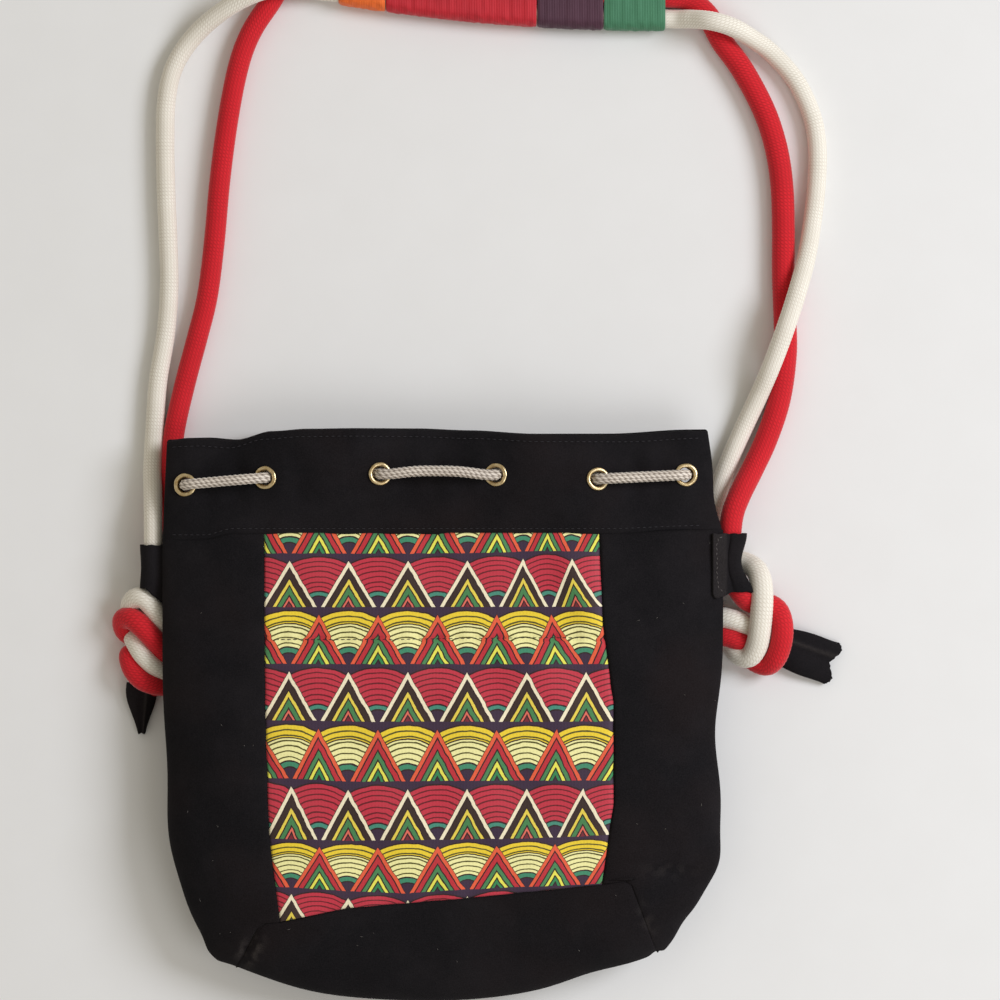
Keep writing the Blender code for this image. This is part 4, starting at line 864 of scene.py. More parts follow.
def wear_and_highlight_places(x, y):
    """How far the nap is rubbed pale and a highlight is painted: along the folds beside both box corners, in
    broken patches.
    """
    patches = smooth_step(0.5 + 0.9 * waves(x, y, 6, 4.0 * MM, 14.0 * MM, SEED + 21))
    total = np.zeros_like(x)
    for start, end, strength in WEAR_AND_HIGHLIGHT_LINES:
        total = np.maximum(total, -crease(x, y, start, end, strength, 3.2 * MM))
    return total * patches


def side_lines(side, count):
    """A side panel's seam and rim, from the collar down to the box corner."""
    edge = PRINT_LEFT if side < 0 else PRINT_RIGHT
    corner = LEFT_CORNER_SEAM if side < 0 else RIGHT_CORNER_SEAM
    seam = seam_to_rim((*edge, *corner[1:]), count)
    end = seam[0][-1]
    side_length = SEAM_Y - CORNER_Y
    base_length = abs(side - end) * body_half_width(CORNER_Y)
    places = np.linspace(0.0, side_length + base_length, count)
    across = np.where(places < side_length, side, side + (end - side) * (places - side_length) / base_length)
    along = np.minimum(places / side_length, 1.0)
    return seam, (across, along)


def base_lines(count):
    """The base panel's upper seam, with both box corners, and its rim below."""
    left, right = LEFT_CORNER_SEAM, RIGHT_CORNER_SEAM
    foot = polyline((*left[:CORNER_TURN + 1][::-1], *PRINT_FOOT[1:], *right[1:CORNER_TURN + 1]), count)
    seam = plan_to_skin(foot[:, 0], foot[:, 1])
    sides = [seam_to_rim(corner[CORNER_TURN:], 80) for corner in (left, right)]
    rim = (np.linspace(sides[0][0][-1], sides[1][0][-1], count), np.ones(count))
    return seam, rim, sides


def make_back(material):
    """The back panel: a grid between the two long seams that rests on the floor."""
    rows, columns = BACK_GRID
    left = polyline(PRINT_LEFT, rows)
    right = polyline(PRINT_RIGHT, rows)
    x, y = panel_plan(left, right, columns)
    across, along = plan_to_skin(x, y)
    x, y, z = body_points(across, along, -1.0)
    thing = put_mesh("back_suede", np.stack((x, y + sway(x, y), z), axis=-1), [grid_faces(rows, columns)],
                     material, (0.0, 0.0, CROWN_Z))
    return wall(thing, SUEDE, "suede", "back_panel")


def panel_plan(left, right, columns):
    """Plan points between two long edges; the lower end bends to the foot seam."""
    share = np.linspace(0.0, 1.0, columns)[None, :]
    down = np.linspace(0.0, 1.0, len(left))[:, None]
    x = left[:, :1] * (1.0 - share) + right[:, :1] * share
    y = left[:, 1:] * (1.0 - share) + right[:, 1:] * share
    foot = polyline(PRINT_FOOT, SEAM_POINTS)
    bend = np.interp(x, foot[:, 0], foot[:, 1]) - (left[-1, 1] * (1.0 - share) + right[-1, 1] * share)
    return x, y + bend * down ** 3


# Printed front

def row_place(y):
    """Rows counted on the cloth: each row is one unit between its foot and the next one's."""
    feet = np.asarray(ROW_FEET_Y[::-1]) * MM
    counts = np.arange(len(feet)) - (len(feet) - 2)
    return np.interp(y, feet, counts)


def cloth_lift(x, y):
    """How far the rows are drawn up at each point, read between the entries of CLOTH_LIFTS."""
    levels = [level for level, _ in CLOTH_LIFTS]
    weights = np.eye(len(levels))
    return MM * sum(np.interp(y / MM, levels, weights[place]) * np.interp(x / MM, CLOTH_LIFT_X, lifts)
                    for place, (_, lifts) in enumerate(CLOTH_LIFTS))


def make_print(material):
    """Printed cotton: a fine grid over the crown, drawn in at its seams, with puckers at the pocket seam."""
    rows, columns = PRINT_GRID
    left = polyline(PRINT_LEFT, rows)
    right = polyline(PRINT_RIGHT, rows)
    x, y = panel_plan(left, right, columns)
    share = np.linspace(0.0, 1.0, columns)[None, :]
    down = np.linspace(0.0, 1.0, rows)[:, None]
    across, along = plan_to_skin(x, y)
    _, _, z = body_points(across, along, 1.0)
    width = right[:, :1] - left[:, :1]
    to_side = np.minimum(share, 1.0 - share) * width
    to_end = np.minimum(down, 1.0 - down) * (SEAM_Y + 0.1)
    drawn = np.exp(-to_side / (1.8 * MM)) + np.exp(-to_end / (2.2 * MM))
    z = z + front_softness(x, y) - SEAM_DIP * np.clip(drawn, 0.0, 1.0) + pocket_puckers(x, y)
    z += 0.35 * MM * np.exp(-to_side / (14.0 * MM)) * np.sin(y / (5.2 * MM) + 3.0 * np.sin(y / (31.0 * MM)))
    z += 0.4 * MM * np.exp(-to_end / (12.0 * MM)) * np.sin(x / (4.6 * MM) + 2.0 * np.sin(x / (27.0 * MM)))
    lift = 1.4 * np.exp(-((x / MM - 60.0) / 34.0) ** 2 - ((y / MM - 84.0) / 18.0) ** 2)
    drag = 9.0 * smooth_step((x / MM - 24.0) / 62.0) * smooth_step((y / MM - 22.0) / 62.0)
    tuck = smooth_step((y / MM - 40.6) / 0.5) * smooth_step((43.0 - y / MM) / 0.5)
    thing = put_mesh("print_cotton", np.stack((x, y + sway(x, y), z), axis=-1), [grid_faces(rows, columns)],
                     material, (0.0, 0.0, 0.0))
    narrow = 1.7 * smooth_step((-52.0 - x / MM) / 34.0) - 2.1 * smooth_step((x / MM - 44.0) / 36.0)
    narrow = narrow * smooth_step((-6.0 - y / MM) / 40.0)
    u = (x / MM - narrow + drag + 0.9 * tuck - COLUMN_X) / COLUMN_PITCH
    v = row_place(y - lift * MM - cloth_lift(x, y))
    set_uv(thing, u.ravel(), v.ravel())
    return wall(thing, PRINT_COTTON, "printed_cotton", "print_panel")


def pocket_puckers(x, y):
    """The stitched line across the print: a furrow, with short ripples on both sides of it."""
    off = y - (POCKET_SEAM_Y + 0.5 * MM * np.sin(x / (40.0 * MM)))
    furrow_shade = -0.9 * MM * np.exp(-(off / (1.1 * MM)) ** 2)
    swell = 0.35 * MM * np.exp(-((np.abs(off) - 3.5 * MM) / (2.4 * MM)) ** 2)
    ripple = 0.30 * MM * np.sin(x / (1.9 * MM) + 1.6 * np.sin(x / (13.0 * MM)))
    return furrow_shade + swell + ripple * np.exp(-(off / (4.2 * MM)) ** 2)


def set_uv(thing, u, v):
    """Writes each point's pair of values to every corner that meets there."""
    mesh = thing.data
    corners = np.empty(len(mesh.loops), dtype=np.int32)
    mesh.loops.foreach_get("vertex_index", corners)
    layer = mesh.uv_layers.new(name="cloth")
    layer.data.foreach_set("uv", np.stack((u[corners], v[corners]), axis=1).astype(np.float32).ravel())


# Collar

def stadium(steps, round_steps):
    """A closed loop up the outer face, over the top, down the inner face and under the foot.

    It gives for each point its share of the straight height, its place on the round end from -1 to 1,
    and its depth from 0 at the outer face to 1 at the inner one.
    """
    straight = np.linspace(0.0, 1.0, steps)
    angles = np.linspace(0.0, np.pi, round_steps + 2)[1:-1]
    share = np.concatenate((straight, np.ones(round_steps), straight[::-1], np.zeros(round_steps)))
    ends = np.concatenate((np.zeros(steps), np.sin(angles), np.zeros(steps), -np.sin(angles)))
    depth = np.concatenate((np.zeros(steps), 0.5 * (1.0 - np.cos(angles)), np.ones(steps),
                            0.5 * (1.0 + np.cos(angles))))
    return share, ends, depth


def make_collar(face, material):
    """Half of the collar: a band folded double, its section carried from side seam to side seam."""
    columns = COLLAR_GRID
    share, ends, depth = stadium(44, 5)
    turn = np.linspace(-1.0, 1.0, columns)[:, None]
    across = 0.35 * turn + 0.65 * np.sin(0.5 * np.pi * turn)
    half_wall = 0.5 * COLLAR_WALL
    bottom = SEAM_Y - 0.9 * MM
    top = collar_top(across * HALF_WIDTH) + (0.0 if face > 0 else COLLAR_BACK_RISE)
    y = bottom + half_wall + (top - bottom - COLLAR_WALL) * share + half_wall * ends
    inset = COLLAR_WALL * depth[None, :] + 0.0 * y
    x = across * (collar_edge(across, y) - inset)
    z = collar_height(x, y, inset, face)
    edge_fade = smooth_step((HALF_WIDTH - np.abs(x)) / (22.0 * MM))
    z = z + face * edge_fade * collar_relief(x, y, face)
    points = np.stack((x, y + sway(x, y), z), axis=-1)
    loop = len(share)
    faces = grid_faces(columns, loop, loop_columns=True)
    caps = end_caps(columns, loop)
    face_name = "front" if face > 0 else "back"
    thing = put_mesh("collar_suede_" + face_name, points, [faces, caps], material)
    fix_orientation(thing)
    cut_eyelet_holes(thing, face)
    return settle(thing, "suede", "collar_" + face_name)


def collar_relief(x, y, face):
    """Pleats that fan out from the cord line, a stitched furrow near both edges and slack waves."""
    from_cord = np.abs(y - np.interp(x, EYELET_X, EYELET_Y))
    pleats = np.sin(x / (3.4 * MM) + 2.2 * np.sin(x / (17.0 * MM))) * np.exp(-(from_cord / (11.0 * MM)) ** 2)
    top_line = collar_top(x) - 5.0 * MM
    seam_line = SEAM_Y + 3.4 * MM
    furrows = np.exp(-((y - top_line) / (0.9 * MM)) ** 2) + np.exp(-((y - seam_line) / (0.9 * MM)) ** 2)
    foot = np.exp(-np.maximum(y - SEAM_Y, 0.0) / (2.0 * MM))
    slack = 0.5 * MM * waves(x, y, 7, 26.0 * MM, 70.0 * MM, SEED + 3 + int(face))
    around = sum(np.exp(-((x - hole_x) ** 2 + (y - hole_y) ** 2) / (7.5 * MM) ** 2)
                 for hole_x, hole_y in zip(EYELET_X, EYELET_Y))
    total = 0.55 * MM * pleats - 0.5 * MM * furrows - 0.8 * MM * foot + slack
    return total * (1.0 - np.clip(around, 0.0, 1.0))


def end_caps(rows, loop, shift=5):
    """Quads across both open ends of a carried section, each joining the outer face to the inner one."""
    first = np.arange(loop // 2 - 1)
    low = (first - shift) % loop
    high = loop - 1 - first - shift
    pairs = np.stack((low, (low + 1) % loop, (high - 1) % loop, high % loop), axis=1)
    return np.vstack((pairs, pairs[:, ::-1] + (rows - 1) * loop))


def fix_orientation(thing):
    """Makes a closed mesh face outwards."""
    bm = bmesh.new()
    bm.from_mesh(thing.data)
    bmesh.ops.remove_doubles(bm, verts=bm.verts, dist=0.000002)
    bmesh.ops.recalc_face_normals(bm, faces=bm.faces)
    bm.to_mesh(thing.data)
    bm.free()


def collar_normal(x, y, face):
    step = 0.5 * MM
    high = collar_height(np.array([x + step, x]), np.array([y, y + step]), 0.0, face)
    low = collar_height(np.array([x - step, x]), np.array([y, y - step]), 0.0, face)
    slope = (high - low) / (2.0 * step)
    normal = np.array([-slope[0], -slope[1], 1.0])
    return normal / np.linalg.norm(normal) * face


def eyelet_seat(index, face):
    """Middle of the collar's wall at an eyelet, and the direction that points out of the wall."""
    x, y = EYELET_X[index], EYELET_Y[index]
    normal = collar_normal(x, y, face)
    outside = np.array([x, y, float(collar_height(np.array(x), y, 0.0, face))])
    return outside - normal * 0.5 * COLLAR_WALL, normal


def cut_eyelet_holes(thing, face):
    """Cuts the six round holes that the eyelets line."""
    points = []
    faces = []
    sides = EYELET_SIDES
    angles = np.arange(sides) * math.tau / sides
    radius = 0.5 * EYELET_HOLE
    for index in range(len(EYELET_X)):
        centre, normal = eyelet_seat(index, face)
        frame_x, frame_y = cross_axes(normal)
        ring = radius * (np.cos(angles)[:, None] * frame_x + np.sin(angles)[:, None] * frame_y)
        start = index * 2 * sides
        points.append(centre + ring - normal * 6.0 * MM)
        points.append(centre + ring + normal * 6.0 * MM)
        side = grid_faces(2, sides, loop_columns=True) + start
        faces.append(side)
    cutter = put_mesh("eyelet_cutter", np.concatenate(points), faces, thing.data.materials[0])
    bm = bmesh.new()
    bm.from_mesh(cutter.data)
    bmesh.ops.holes_fill(bm, edges=[edge for edge in bm.edges if edge.is_boundary], sides=0)
    bmesh.ops.recalc_face_normals(bm, faces=bm.faces)
    bm.to_mesh(cutter.data)
    bm.free()
    step = thing.modifiers.new("Holes", "BOOLEAN")
    step.operation = "DIFFERENCE"
    step.solver = "EXACT"
    step.object = cutter
    apply_modifiers(thing)
    thing.data.shade_smooth()
    thing.data.set_sharp_from_angle(angle=math.radians(50.0))
    bpy.data.objects.remove(cutter, do_unlink=True)


def cross_axes(normal):
    """Two directions at right angles to a direction and to each other."""
    helper = np.array([1.0, 0.0, 0.0]) if abs(normal[0]) < 0.8 else np.array([0.0, 1.0, 0.0])
    first = np.cross(normal, helper)
    first /= np.linalg.norm(first)
    return first, np.cross(normal, first)


# Eyelets

def make_eyelet(index, face, material):
    """A set eyelet: a round roll on each side of the wall, joined by the barrel, turned about its axis."""
    sides = EYELET_SIDES
    seat = 0.5 * COLLAR_WALL + 0.1 * MM
    roll = np.radians(np.linspace(-40.0, 180.0, 13))
    ring_r = 5.15 * MM + 1.1 * MM * np.cos(roll)
    ring_h = seat + 0.4 * MM + 0.8 * MM * np.sin(roll)
    radius = np.concatenate((ring_r, ring_r[::-1], [4.45 * MM, 4.45 * MM]))
    height = np.concatenate((ring_h, -ring_h[::-1], [-seat, seat]))
    angles = np.arange(sides) * math.tau / sides
    centre, normal = eyelet_seat(index, face)
    first, second = cross_axes(normal)
    dent = 1.0 + 0.012 * np.sin(3.0 * angles + index) + 0.008 * np.sin(7.0 * angles + 2.0 * index)
    around = np.cos(angles)[:, None, None] * first + np.sin(angles)[:, None, None] * second
    points = centre + around * (radius[None, :] * dent[:, None])[:, :, None] + normal * height[None, :, None]
    faces = grid_faces(sides, len(radius), loop_rows=True, loop_columns=True)
    side_name = "front" if face > 0 else "back"
    thing = put_mesh("brass_eyelet_%s_%d" % (side_name, index + 1), points, [faces], material)
    fix_orientation(thing)
    return settle(thing, "eyelets", "eyelet_%s_%d" % (side_name, index + 1))


# Cords

def smooth_curve(points, spacing):
    """Even points along a Catmull-Rom curve through the given ones: each stretch is a cubic whose
    slopes at its ends follow the neighbours."""
    points = np.asarray(points, dtype=float)
    padded = np.vstack((2 * points[0] - points[1], points, 2 * points[-1] - points[-2]))
    t = np.linspace(0.0, 1.0, 24, endpoint=False)[:, None]
    before, start, end, after = (padded[shift:len(padded) - 3 + shift, None, :] for shift in range(4))
    fine = 0.5 * (2 * start + (end - before) * t + (2 * before - 5 * start + 4 * end - after) * t ** 2
                  + (3 * start - before - 3 * end + after) * t ** 3)
    fine = np.vstack((fine.reshape(-1, 3), points[-1:]))
    for _ in range(3):
        fine[1:-1] = 0.25 * fine[:-2] + 0.5 * fine[1:-1] + 0.25 * fine[2:]
    lengths = running_length(fine)
    count = max(2, int(round(lengths[-1] / spacing)) + 1)
    places = np.linspace(0.0, lengths[-1], count)
    even = np.stack([np.interp(places, lengths, fine[:, axis]) for axis in range(3)], axis=1)
    return even, places


def carried_axes(points):
    """Cross directions carried along a path without twist, by turning each pair to the next direction."""
    ways = np.gradient(points, axis=0)
    ways /= np.linalg.norm(ways, axis=1)[:, None]
    first = np.empty_like(points)
    start, _ = cross_axes(ways[0])
    first[0] = start
    for index in range(1, len(points)):
        moved = first[index - 1] - ways[index] * np.dot(first[index - 1], ways[index])
        first[index] = moved / np.linalg.norm(moved)
    return first, np.cross(ways, first)


def braided_tube(name, route, diameter, columns, stitch, depth, material, ring_space, sides,
                 slant=0.0, swell=((0.0, 1.0), (1.0, 1.0))):
    """A braided cord: a tube whose radius follows plaited yarns; swell thickens it by share of length.

    Round the cord the yarns stand in columns; in each column they slant up to the left or right in
    turn, which makes rows of V shapes. Height is a cosine along the cord, shifted by a triangle wave
    round it, and falls at each column's edge. With a slant the yarns all lean one way instead, and each
    column is half a stitch on from the last.
    """
    path, along = smooth_curve(route, ring_space)
    first, second = carried_axes(path)
    angle = np.linspace(0.0, math.tau, sides, endpoint=False)[None, :]
    column = columns * angle / math.tau
    zigzag = np.abs(column % 2.0 - 1.0)
    if slant:
        zigzag = 0.5 * np.floor(column) + slant * (column % 1.0)
    yarn = 0.5 + 0.5 * np.cos(math.tau * (along[:, None] / stitch + zigzag))
    edge = np.abs((column % 1.0) - 0.5) * 2.0
    relief = yarn ** 0.7 * (1.0 - (0.8 if slant else 0.55) * edge ** 3)
    shares, factors = np.array(swell).T
    taper = np.interp(along / along[-1], shares, factors)
    taper[:3] *= (0.6, 0.85, 0.97)
    taper[-3:] *= (0.97, 0.85, 0.6)
    radius = taper[:, None] * (0.5 * diameter - depth * (1.0 - relief))
    around = np.cos(angle)[:, :, None] * first[:, None, :] + np.sin(angle)[:, :, None] * second[:, None, :]
    rings = path[:, None, :] + radius[:, :, None] * around
    rings[..., 2] = np.maximum(rings[..., 2], 0.15 * MM)
    count = len(path)
    points = np.vstack((rings.reshape(-1, 3), path[:1], path[-1:]))
    side = grid_faces(count, sides, loop_columns=True)
    edge_numbers = np.arange(sides)
    following = (edge_numbers + 1) % sides
    start_cap = np.stack((following, edge_numbers, np.full(sides, count * sides)), axis=1)
    last = (count - 1) * sides
    end_cap = np.stack((last + edge_numbers, last + following, np.full(sides, count * sides + 1)), axis=1)
    thing = put_mesh(name, points, [side[:, ::-1], start_cap[:, ::-1], end_cap[:, ::-1]], material)
    # The material paints shade in the furrows where this value is low.
    put_values(thing, "relief", np.concatenate((relief.ravel(), [0.5, 0.5])))
    fix_cord_orientation(thing)
    return thing, path, along[-1]


def fix_cord_orientation(thing):
    """Turns a closed tube to face outwards, by the sign of the volume that its faces hold."""
    mesh = thing.data
    mesh.calc_loop_triangles()
    numbers = np.empty(len(mesh.loop_triangles) * 3, dtype=np.int32)
    mesh.loop_triangles.foreach_get("vertices", numbers)
    spots = np.empty(len(mesh.vertices) * 3)
    mesh.vertices.foreach_get("co", spots)
    corners = spots.reshape(-1, 3)[numbers.reshape(-1, 3)]
    volume = np.einsum("ij,ij->", corners[:, 0], np.cross(corners[:, 1], corners[:, 2]))
    if volume < 0:
        mesh.flip_normals()


def drawstring_knot_place():
    x = 0.5 * (EYELET_X[3] + EYELET_X[4])
    y = 0.5 * (EYELET_Y[3] + EYELET_Y[4])
    floor = float(collar_height(np.array(x), y, COLLAR_WALL, -1))
    return np.array([x, y, floor + DRAWSTRING_KNOT[2] + JOINT_GAP])


def drawstring_route():
    """The cord's way through all the eyelets: from its knot, round the back, then the front."""
    stops = [(4, -1), (5, -1), (5, 1), (4, 1), (3, 1), (2, 1), (1, 1), (0, 1),
             (0, -1), (1, -1), (2, -1), (3, -1)]
    knot = drawstring_knot_place()
    end = np.array([DRAWSTRING_KNOT[0] + JOINT_GAP, 0.0, 0.0])
    lead = end + np.array([DRAWSTRING_LEAD, 0.0, 0.0])
    route = [knot + end, knot + lead]
    reach = DRAWSTRING_LIFT + DRAWSTRING_CLEAR
    for order, (index, face) in enumerate(stops):
        centre, normal = eyelet_seat(index, face)
        previous = eyelet_seat(*stops[order - 1])[0] if order else knot
        is_last = order + 1 == len(stops)
        following, next_normal = (knot, normal) if is_last else eyelet_seat(*stops[order + 1])
        sign = -1.0 if order % 2 else 1.0
        route.append(centre - normal * sign * reach + turn_towards(previous - centre, normal))
        route.append(centre - normal * sign * DRAWSTRING_LIFT)
        route.append(centre + normal * sign * DRAWSTRING_LIFT)
        route.append(centre + normal * sign * reach + turn_towards(following - centre, normal))
        if not is_last and np.linalg.norm(following - centre) > DRAWSTRING_BOW_FROM:
            bow = DRAWSTRING_BOW if sign > 0 else 1.0
            arch = np.array([0.0, DRAWSTRING_ARCH.get(order, 0.0), 0.0])
            for share in (0.3, 0.5, 0.7):
                swell = 4.0 * share * (1.0 - share)
                away = sign * reach * (1.0 + (bow - 1.0) * swell)
                out = (normal * (1.0 - share) + next_normal * share) * away
                route.append(centre * (1.0 - share) + following * share + out + arch * swell)
    route.extend((knot - lead, knot - end))
    return np.array(route)


def turn_towards(way, normal):
    """How far along the wall the cord has turned on its way where it clears the eyelet's rim."""
    along = way - normal * np.dot(way, normal)
    return along / np.linalg.norm(along) * min(DRAWSTRING_TURN, DRAWSTRING_TURN_SHARE * np.linalg.norm(way))


# Wraps

def wrap_line(x):
    """The wrapping's middle line in plan, a parabola."""
    return WRAP_Y + WRAP_BEND * (x - WRAP_FLAT_X) ** 2


def make_wrap(name, start, end, material, slot, node):
    """Thread wound round both ropes: a stadium section with one round ridge for each turn.

    The section is a half circle at each side joined by flats; the ridge is the sine's absolute value
    along the wrap, shifted by the turn round it, and the section sinks a little between the ropes.
    """
    sides = WRAP_SIDES
    rows = max(12, int(round((end - start) / (THREAD_PITCH / WRAP_RINGS_A_TURN))))
    x = np.linspace(start, end, rows)[:, None]
    angle = (np.arange(sides) * math.tau / sides)[None, :]
    phase = x / THREAD_PITCH + angle / math.tau
    ridge = np.abs(np.sin(math.pi * phase))
    uneven = 0.16 * MM * waves(x + 0.0 * angle, 0.02 * np.sin(angle) + 0.0 * x, 7, 3.0 * MM, 30.0 * MM,
                               SEED + 9)
    to_end = np.minimum(x - start, end - x)
    uneven = uneven - 0.9 * MM * np.exp(-to_end / (0.7 * MM))
    radius = 0.5 * RED_ROPE + WRAP_CLEARANCE + WRAP_WALL - 0.3 * MM * (1.0 - ridge) + uneven
    side = np.cos(angle)
    flat = 0.5 * ROPE_PITCH * np.clip(side * 3.0, -1.0, 1.0)
    waist = 0.9 * MM * np.exp(-(side / 0.28) ** 2) * np.sign(np.sin(angle))
    y = wrap_line(x) + flat + radius * side
    z = np.maximum(WRAP_Z + radius * np.sin(angle) - waist, 0.2 * MM)
    points = np.stack((x + 0.0 * y, y, z), axis=-1)
    middle = 0.5 * (start + end)
    thing = put_mesh(name, points, [grid_faces(rows, sides, loop_columns=True)], material,
                     (middle, wrap_line(middle), WRAP_Z))
    # Painted shade between the thread's turns: the material darkens where this value is low.
    put_values(thing, "relief", 0.35 + 0.65 * ridge + 0.0 * y)
    return wall(thing, WRAP_WALL * 0.7, slot, node)


# Tabs

def tab_section(rope_diameter, has_strip, middle_y):
    """The tab's middle line in the XZ plane: on the front, round the rope and under the side."""
    gap = JOINT_GAP + 0.5 * TAB_THICKNESS
    points = []
    if has_strip:
        for x in (TAB_STRIP_START, 0.5 * (TAB_STRIP_START + HALF_WIDTH)):
            across, along = plan_to_skin(np.array(x), np.array(middle_y))
            z = float(body_points(across, along, 1.0)[2])
            points.append((x, z + gap + 2.0 * JOINT_GAP))
        points.append((HALF_WIDTH + JOINT_GAP, RIM_Z + gap + TAB_THICKNESS))
    else:
        points.append((HALF_WIDTH - 0.6 * MM, TAB_ROPE_Z + 0.5 * rope_diameter + 0.6 * MM))
    steps = 14
    angles = np.radians(np.linspace(TAB_FROM_ANGLE, TAB_TO_ANGLE, steps + 1))
    radius = 0.5 * rope_diameter + TAB_CLEARANCE + 0.5 * TAB_THICKNESS + 0.1 * MM
    points.extend((TAB_ROPE_X + radius * math.cos(a), TAB_ROPE_Z + radius * math.sin(a)) for a in angles)
    below = RIM_Z * (1.0 - float(round_off(HALF_WIDTH - TAB_TAIL_X, BACK_ROUND)))
    points.append((TAB_TAIL_X, below - gap))
    return np.array([(x, 0.0, z) for x, z in points])


def make_tab(name, side, section, top_y, width, pinch, flare, drop, material, node):
    """A suede loop: its section carried down the side, narrower in the middle where it is pinched.

    The foot drops below the width towards the bag's front, where the loop hangs a little lower.
    """
    line, _ = smooth_curve(section, TAB_STEP)
    rows = TAB_ROWS
    down = np.linspace(0.0, 1.0, rows)[:, None]
    pull = pinch * np.sin(np.pi * down) ** 2 - flare * down ** 4
    on_front = smooth_step(1.0 - np.arange(len(line)) / (0.32 * len(line)))[None, :]
    x = line[None, :, 0] - pull * smooth_step((line[None, :, 0] - HALF_WIDTH) / (8.0 * MM))
    rag = 0.25 * MM * np.sin(line[None, :, 0] / (0.9 * MM)) * (2.0 * down - 1.0)
    y = top_y - width * down - drop * on_front * down ** 3 + rag + 0.0 * x
    if side > 0:
        to_corner = np.clip(1.0 - (line[None, :, 0] - TAB_STRIP_START) / (2.6 * MM), 0.0, 1.0)
        y = y + 2.8 * MM * to_corner ** 2 * (line[None, :, 2] > RIM_Z) * down ** 8
    z = line[None, :, 2] + 0.15 * MM * np.sin(y / (3.0 * MM) + x / (2.0 * MM))
    z = z - (0.0 if side > 0 else 2.2 * MM) * on_front * down ** 4
    points = np.stack((side * x, y, z), axis=-1)
    thing = put_mesh(name, points, [grid_faces(rows, len(line))], material,
                     (side * TAB_ROPE_X, top_y - 0.5 * width, TAB_ROPE_Z))
    if side > 0:
        # Paler on the strip's top: rubbed nap with a painted highlight.
        on_strip = smooth_step((HALF_WIDTH + 2.0 * MM - x) / (1.6 * MM)) * (line[None, :, 2] > RIM_Z)
        put_values(thing, "worn", 0.12 * on_strip)
    return wall(thing, TAB_THICKNESS, "suede", node, 0.0)


# End sleeves

def make_sleeve(name, start, end, widths, heights, bulge, notch, ragged, material, node):
    """A flattened suede tube over the ropes' ends: an ellipse carried along and narrowed or widened,
    with a V cut in its outer end and a rough cut edge."""
    start = np.array(start) * MM
    end = np.array(end) * MM
    way = end - start
    length = np.linalg.norm(way)
    way = way / length
    across = np.array([-way[1], way[0]])
    rows, sides = SLEEVE_GRID
    share = np.linspace(0.0, 1.0, rows)[:, None]
    angle = (np.arange(sides) * math.tau / sides)[None, :]
    half_width = 0.5 * MM * (widths[0] + share * (widths[1] - widths[0]))
    half_width = half_width * (1.0 + bulge * np.sin(np.pi * share) * (1.3 - share))
    half_height = 0.5 * MM * (heights[0] + share * (heights[1] - heights[0]))
    side = np.cos(angle)
    rag = np.sin(23.0 * angle) + np.sin(37.0 * angle + 1.0) + np.sin(61.0 * angle)
    rag = ragged * MM * rag * share ** 6
    place = share * length - notch * MM * share ** 2 * np.maximum(0.0, 1.0 - 1.8 * np.abs(side)) + rag
    place = place - 2.6 * MM * share ** 3 * np.maximum(0.0, (np.abs(side) - 0.6) / 0.4) ** 2
    soft = 1.0 + 0.06 * np.sin(5.0 * share + 2.0 * angle)
    x = start[0] + way[0] * place + across[0] * side * half_width * soft
    y = start[1] + way[1] * place + across[1] * side * half_width * soft
    dip = 0.25 * np.exp(-(side / 0.3) ** 2) * share
    z = JOINT_GAP + half_height * (1.0 + np.sin(angle) * (1.0 - dip))
    fold = np.exp(-((side - 0.42 + 0.1 * share) / 0.1) ** 2) * (np.sin(angle) > 0.0)
    points = np.stack((x, y, z + 0.5 * MM * fold), axis=-1)
    middle = 0.5 * (start + end)
    thing = put_mesh(name, points, [grid_faces(rows, sides, loop_columns=True)], material,
                     (middle[0], middle[1], 4.0 * MM))
    # Paler along the fold on the sleeve's top: rubbed nap with a painted highlight.
    put_values(thing, "worn", 0.22 * fold + 0.0 * x)
    return wall(thing, SLEEVE_SUEDE, "suede", node)


# Stitches and lint

def capsules(name, starts, ends, radius, lift, material, slot):
    """Many short threads: a low round rod for each pair of ends, bowed up in its middle."""
    rings, sides = 5, 6
    share = np.linspace(0.0, 1.0, rings)
    swell = np.array([0.45, 0.9, 1.0, 0.9, 0.45])
    angle = np.arange(sides) * math.tau / sides
    way = ends - starts
    way = way / np.linalg.norm(way, axis=1)[:, None]
    up = np.array([0.0, 0.0, 1.0])
    across = np.cross(way, up)
    across /= np.linalg.norm(across, axis=1)[:, None]
    over = np.cross(across, way)
    middle = starts[:, None, :] + (ends - starts)[:, None, :] * share[None, :, None]
    middle = middle + over[:, None, :] * (lift * np.sin(np.pi * share))[None, :, None]
    around = (np.cos(angle)[None, None, :, None] * across[:, None, None, :]
              + np.sin(angle)[None, None, :, None] * over[:, None, None, :])
    points = middle[:, :, None, :] + radius * swell[None, :, None, None] * around
    one = grid_faces(rings, sides, loop_columns=True)
    count = len(starts)
    side = (one[None] + (np.arange(count) * rings * sides)[:, None, None]).reshape(-1, 4)
    cap = np.arange(sides)[None, :] + (np.arange(count) * rings * sides)[:, None]
    far_cap = (cap + (rings - 1) * sides)[:, ::-1]
    thing = put_mesh(name, points.reshape(-1, 3), [side, cap[:, ::-1], far_cap[:, ::-1]], material)
    fix_orientation(thing)
    return settle(thing, slot)


def front_height(x, y):
    across, along = plan_to_skin(x, y)
    return body_points(across, along, 1.0)[2] + front_softness(x, y)


def stitch_ends(x, y, height, stitch, gap):
    """Start and end points of even stitches along a line given by dense points in plan."""
    lengths = running_length(np.stack((x, y), axis=1))
    starts = np.arange(0.5 * gap, lengths[-1] - stitch, stitch + gap)
    ends = starts + stitch
    spots = []
    for places in (starts, ends):
        px, py = np.interp(places, lengths, x), np.interp(places, lengths, y)
        spots.append(np.stack((px, py, height(px, py)), axis=1))
    return spots


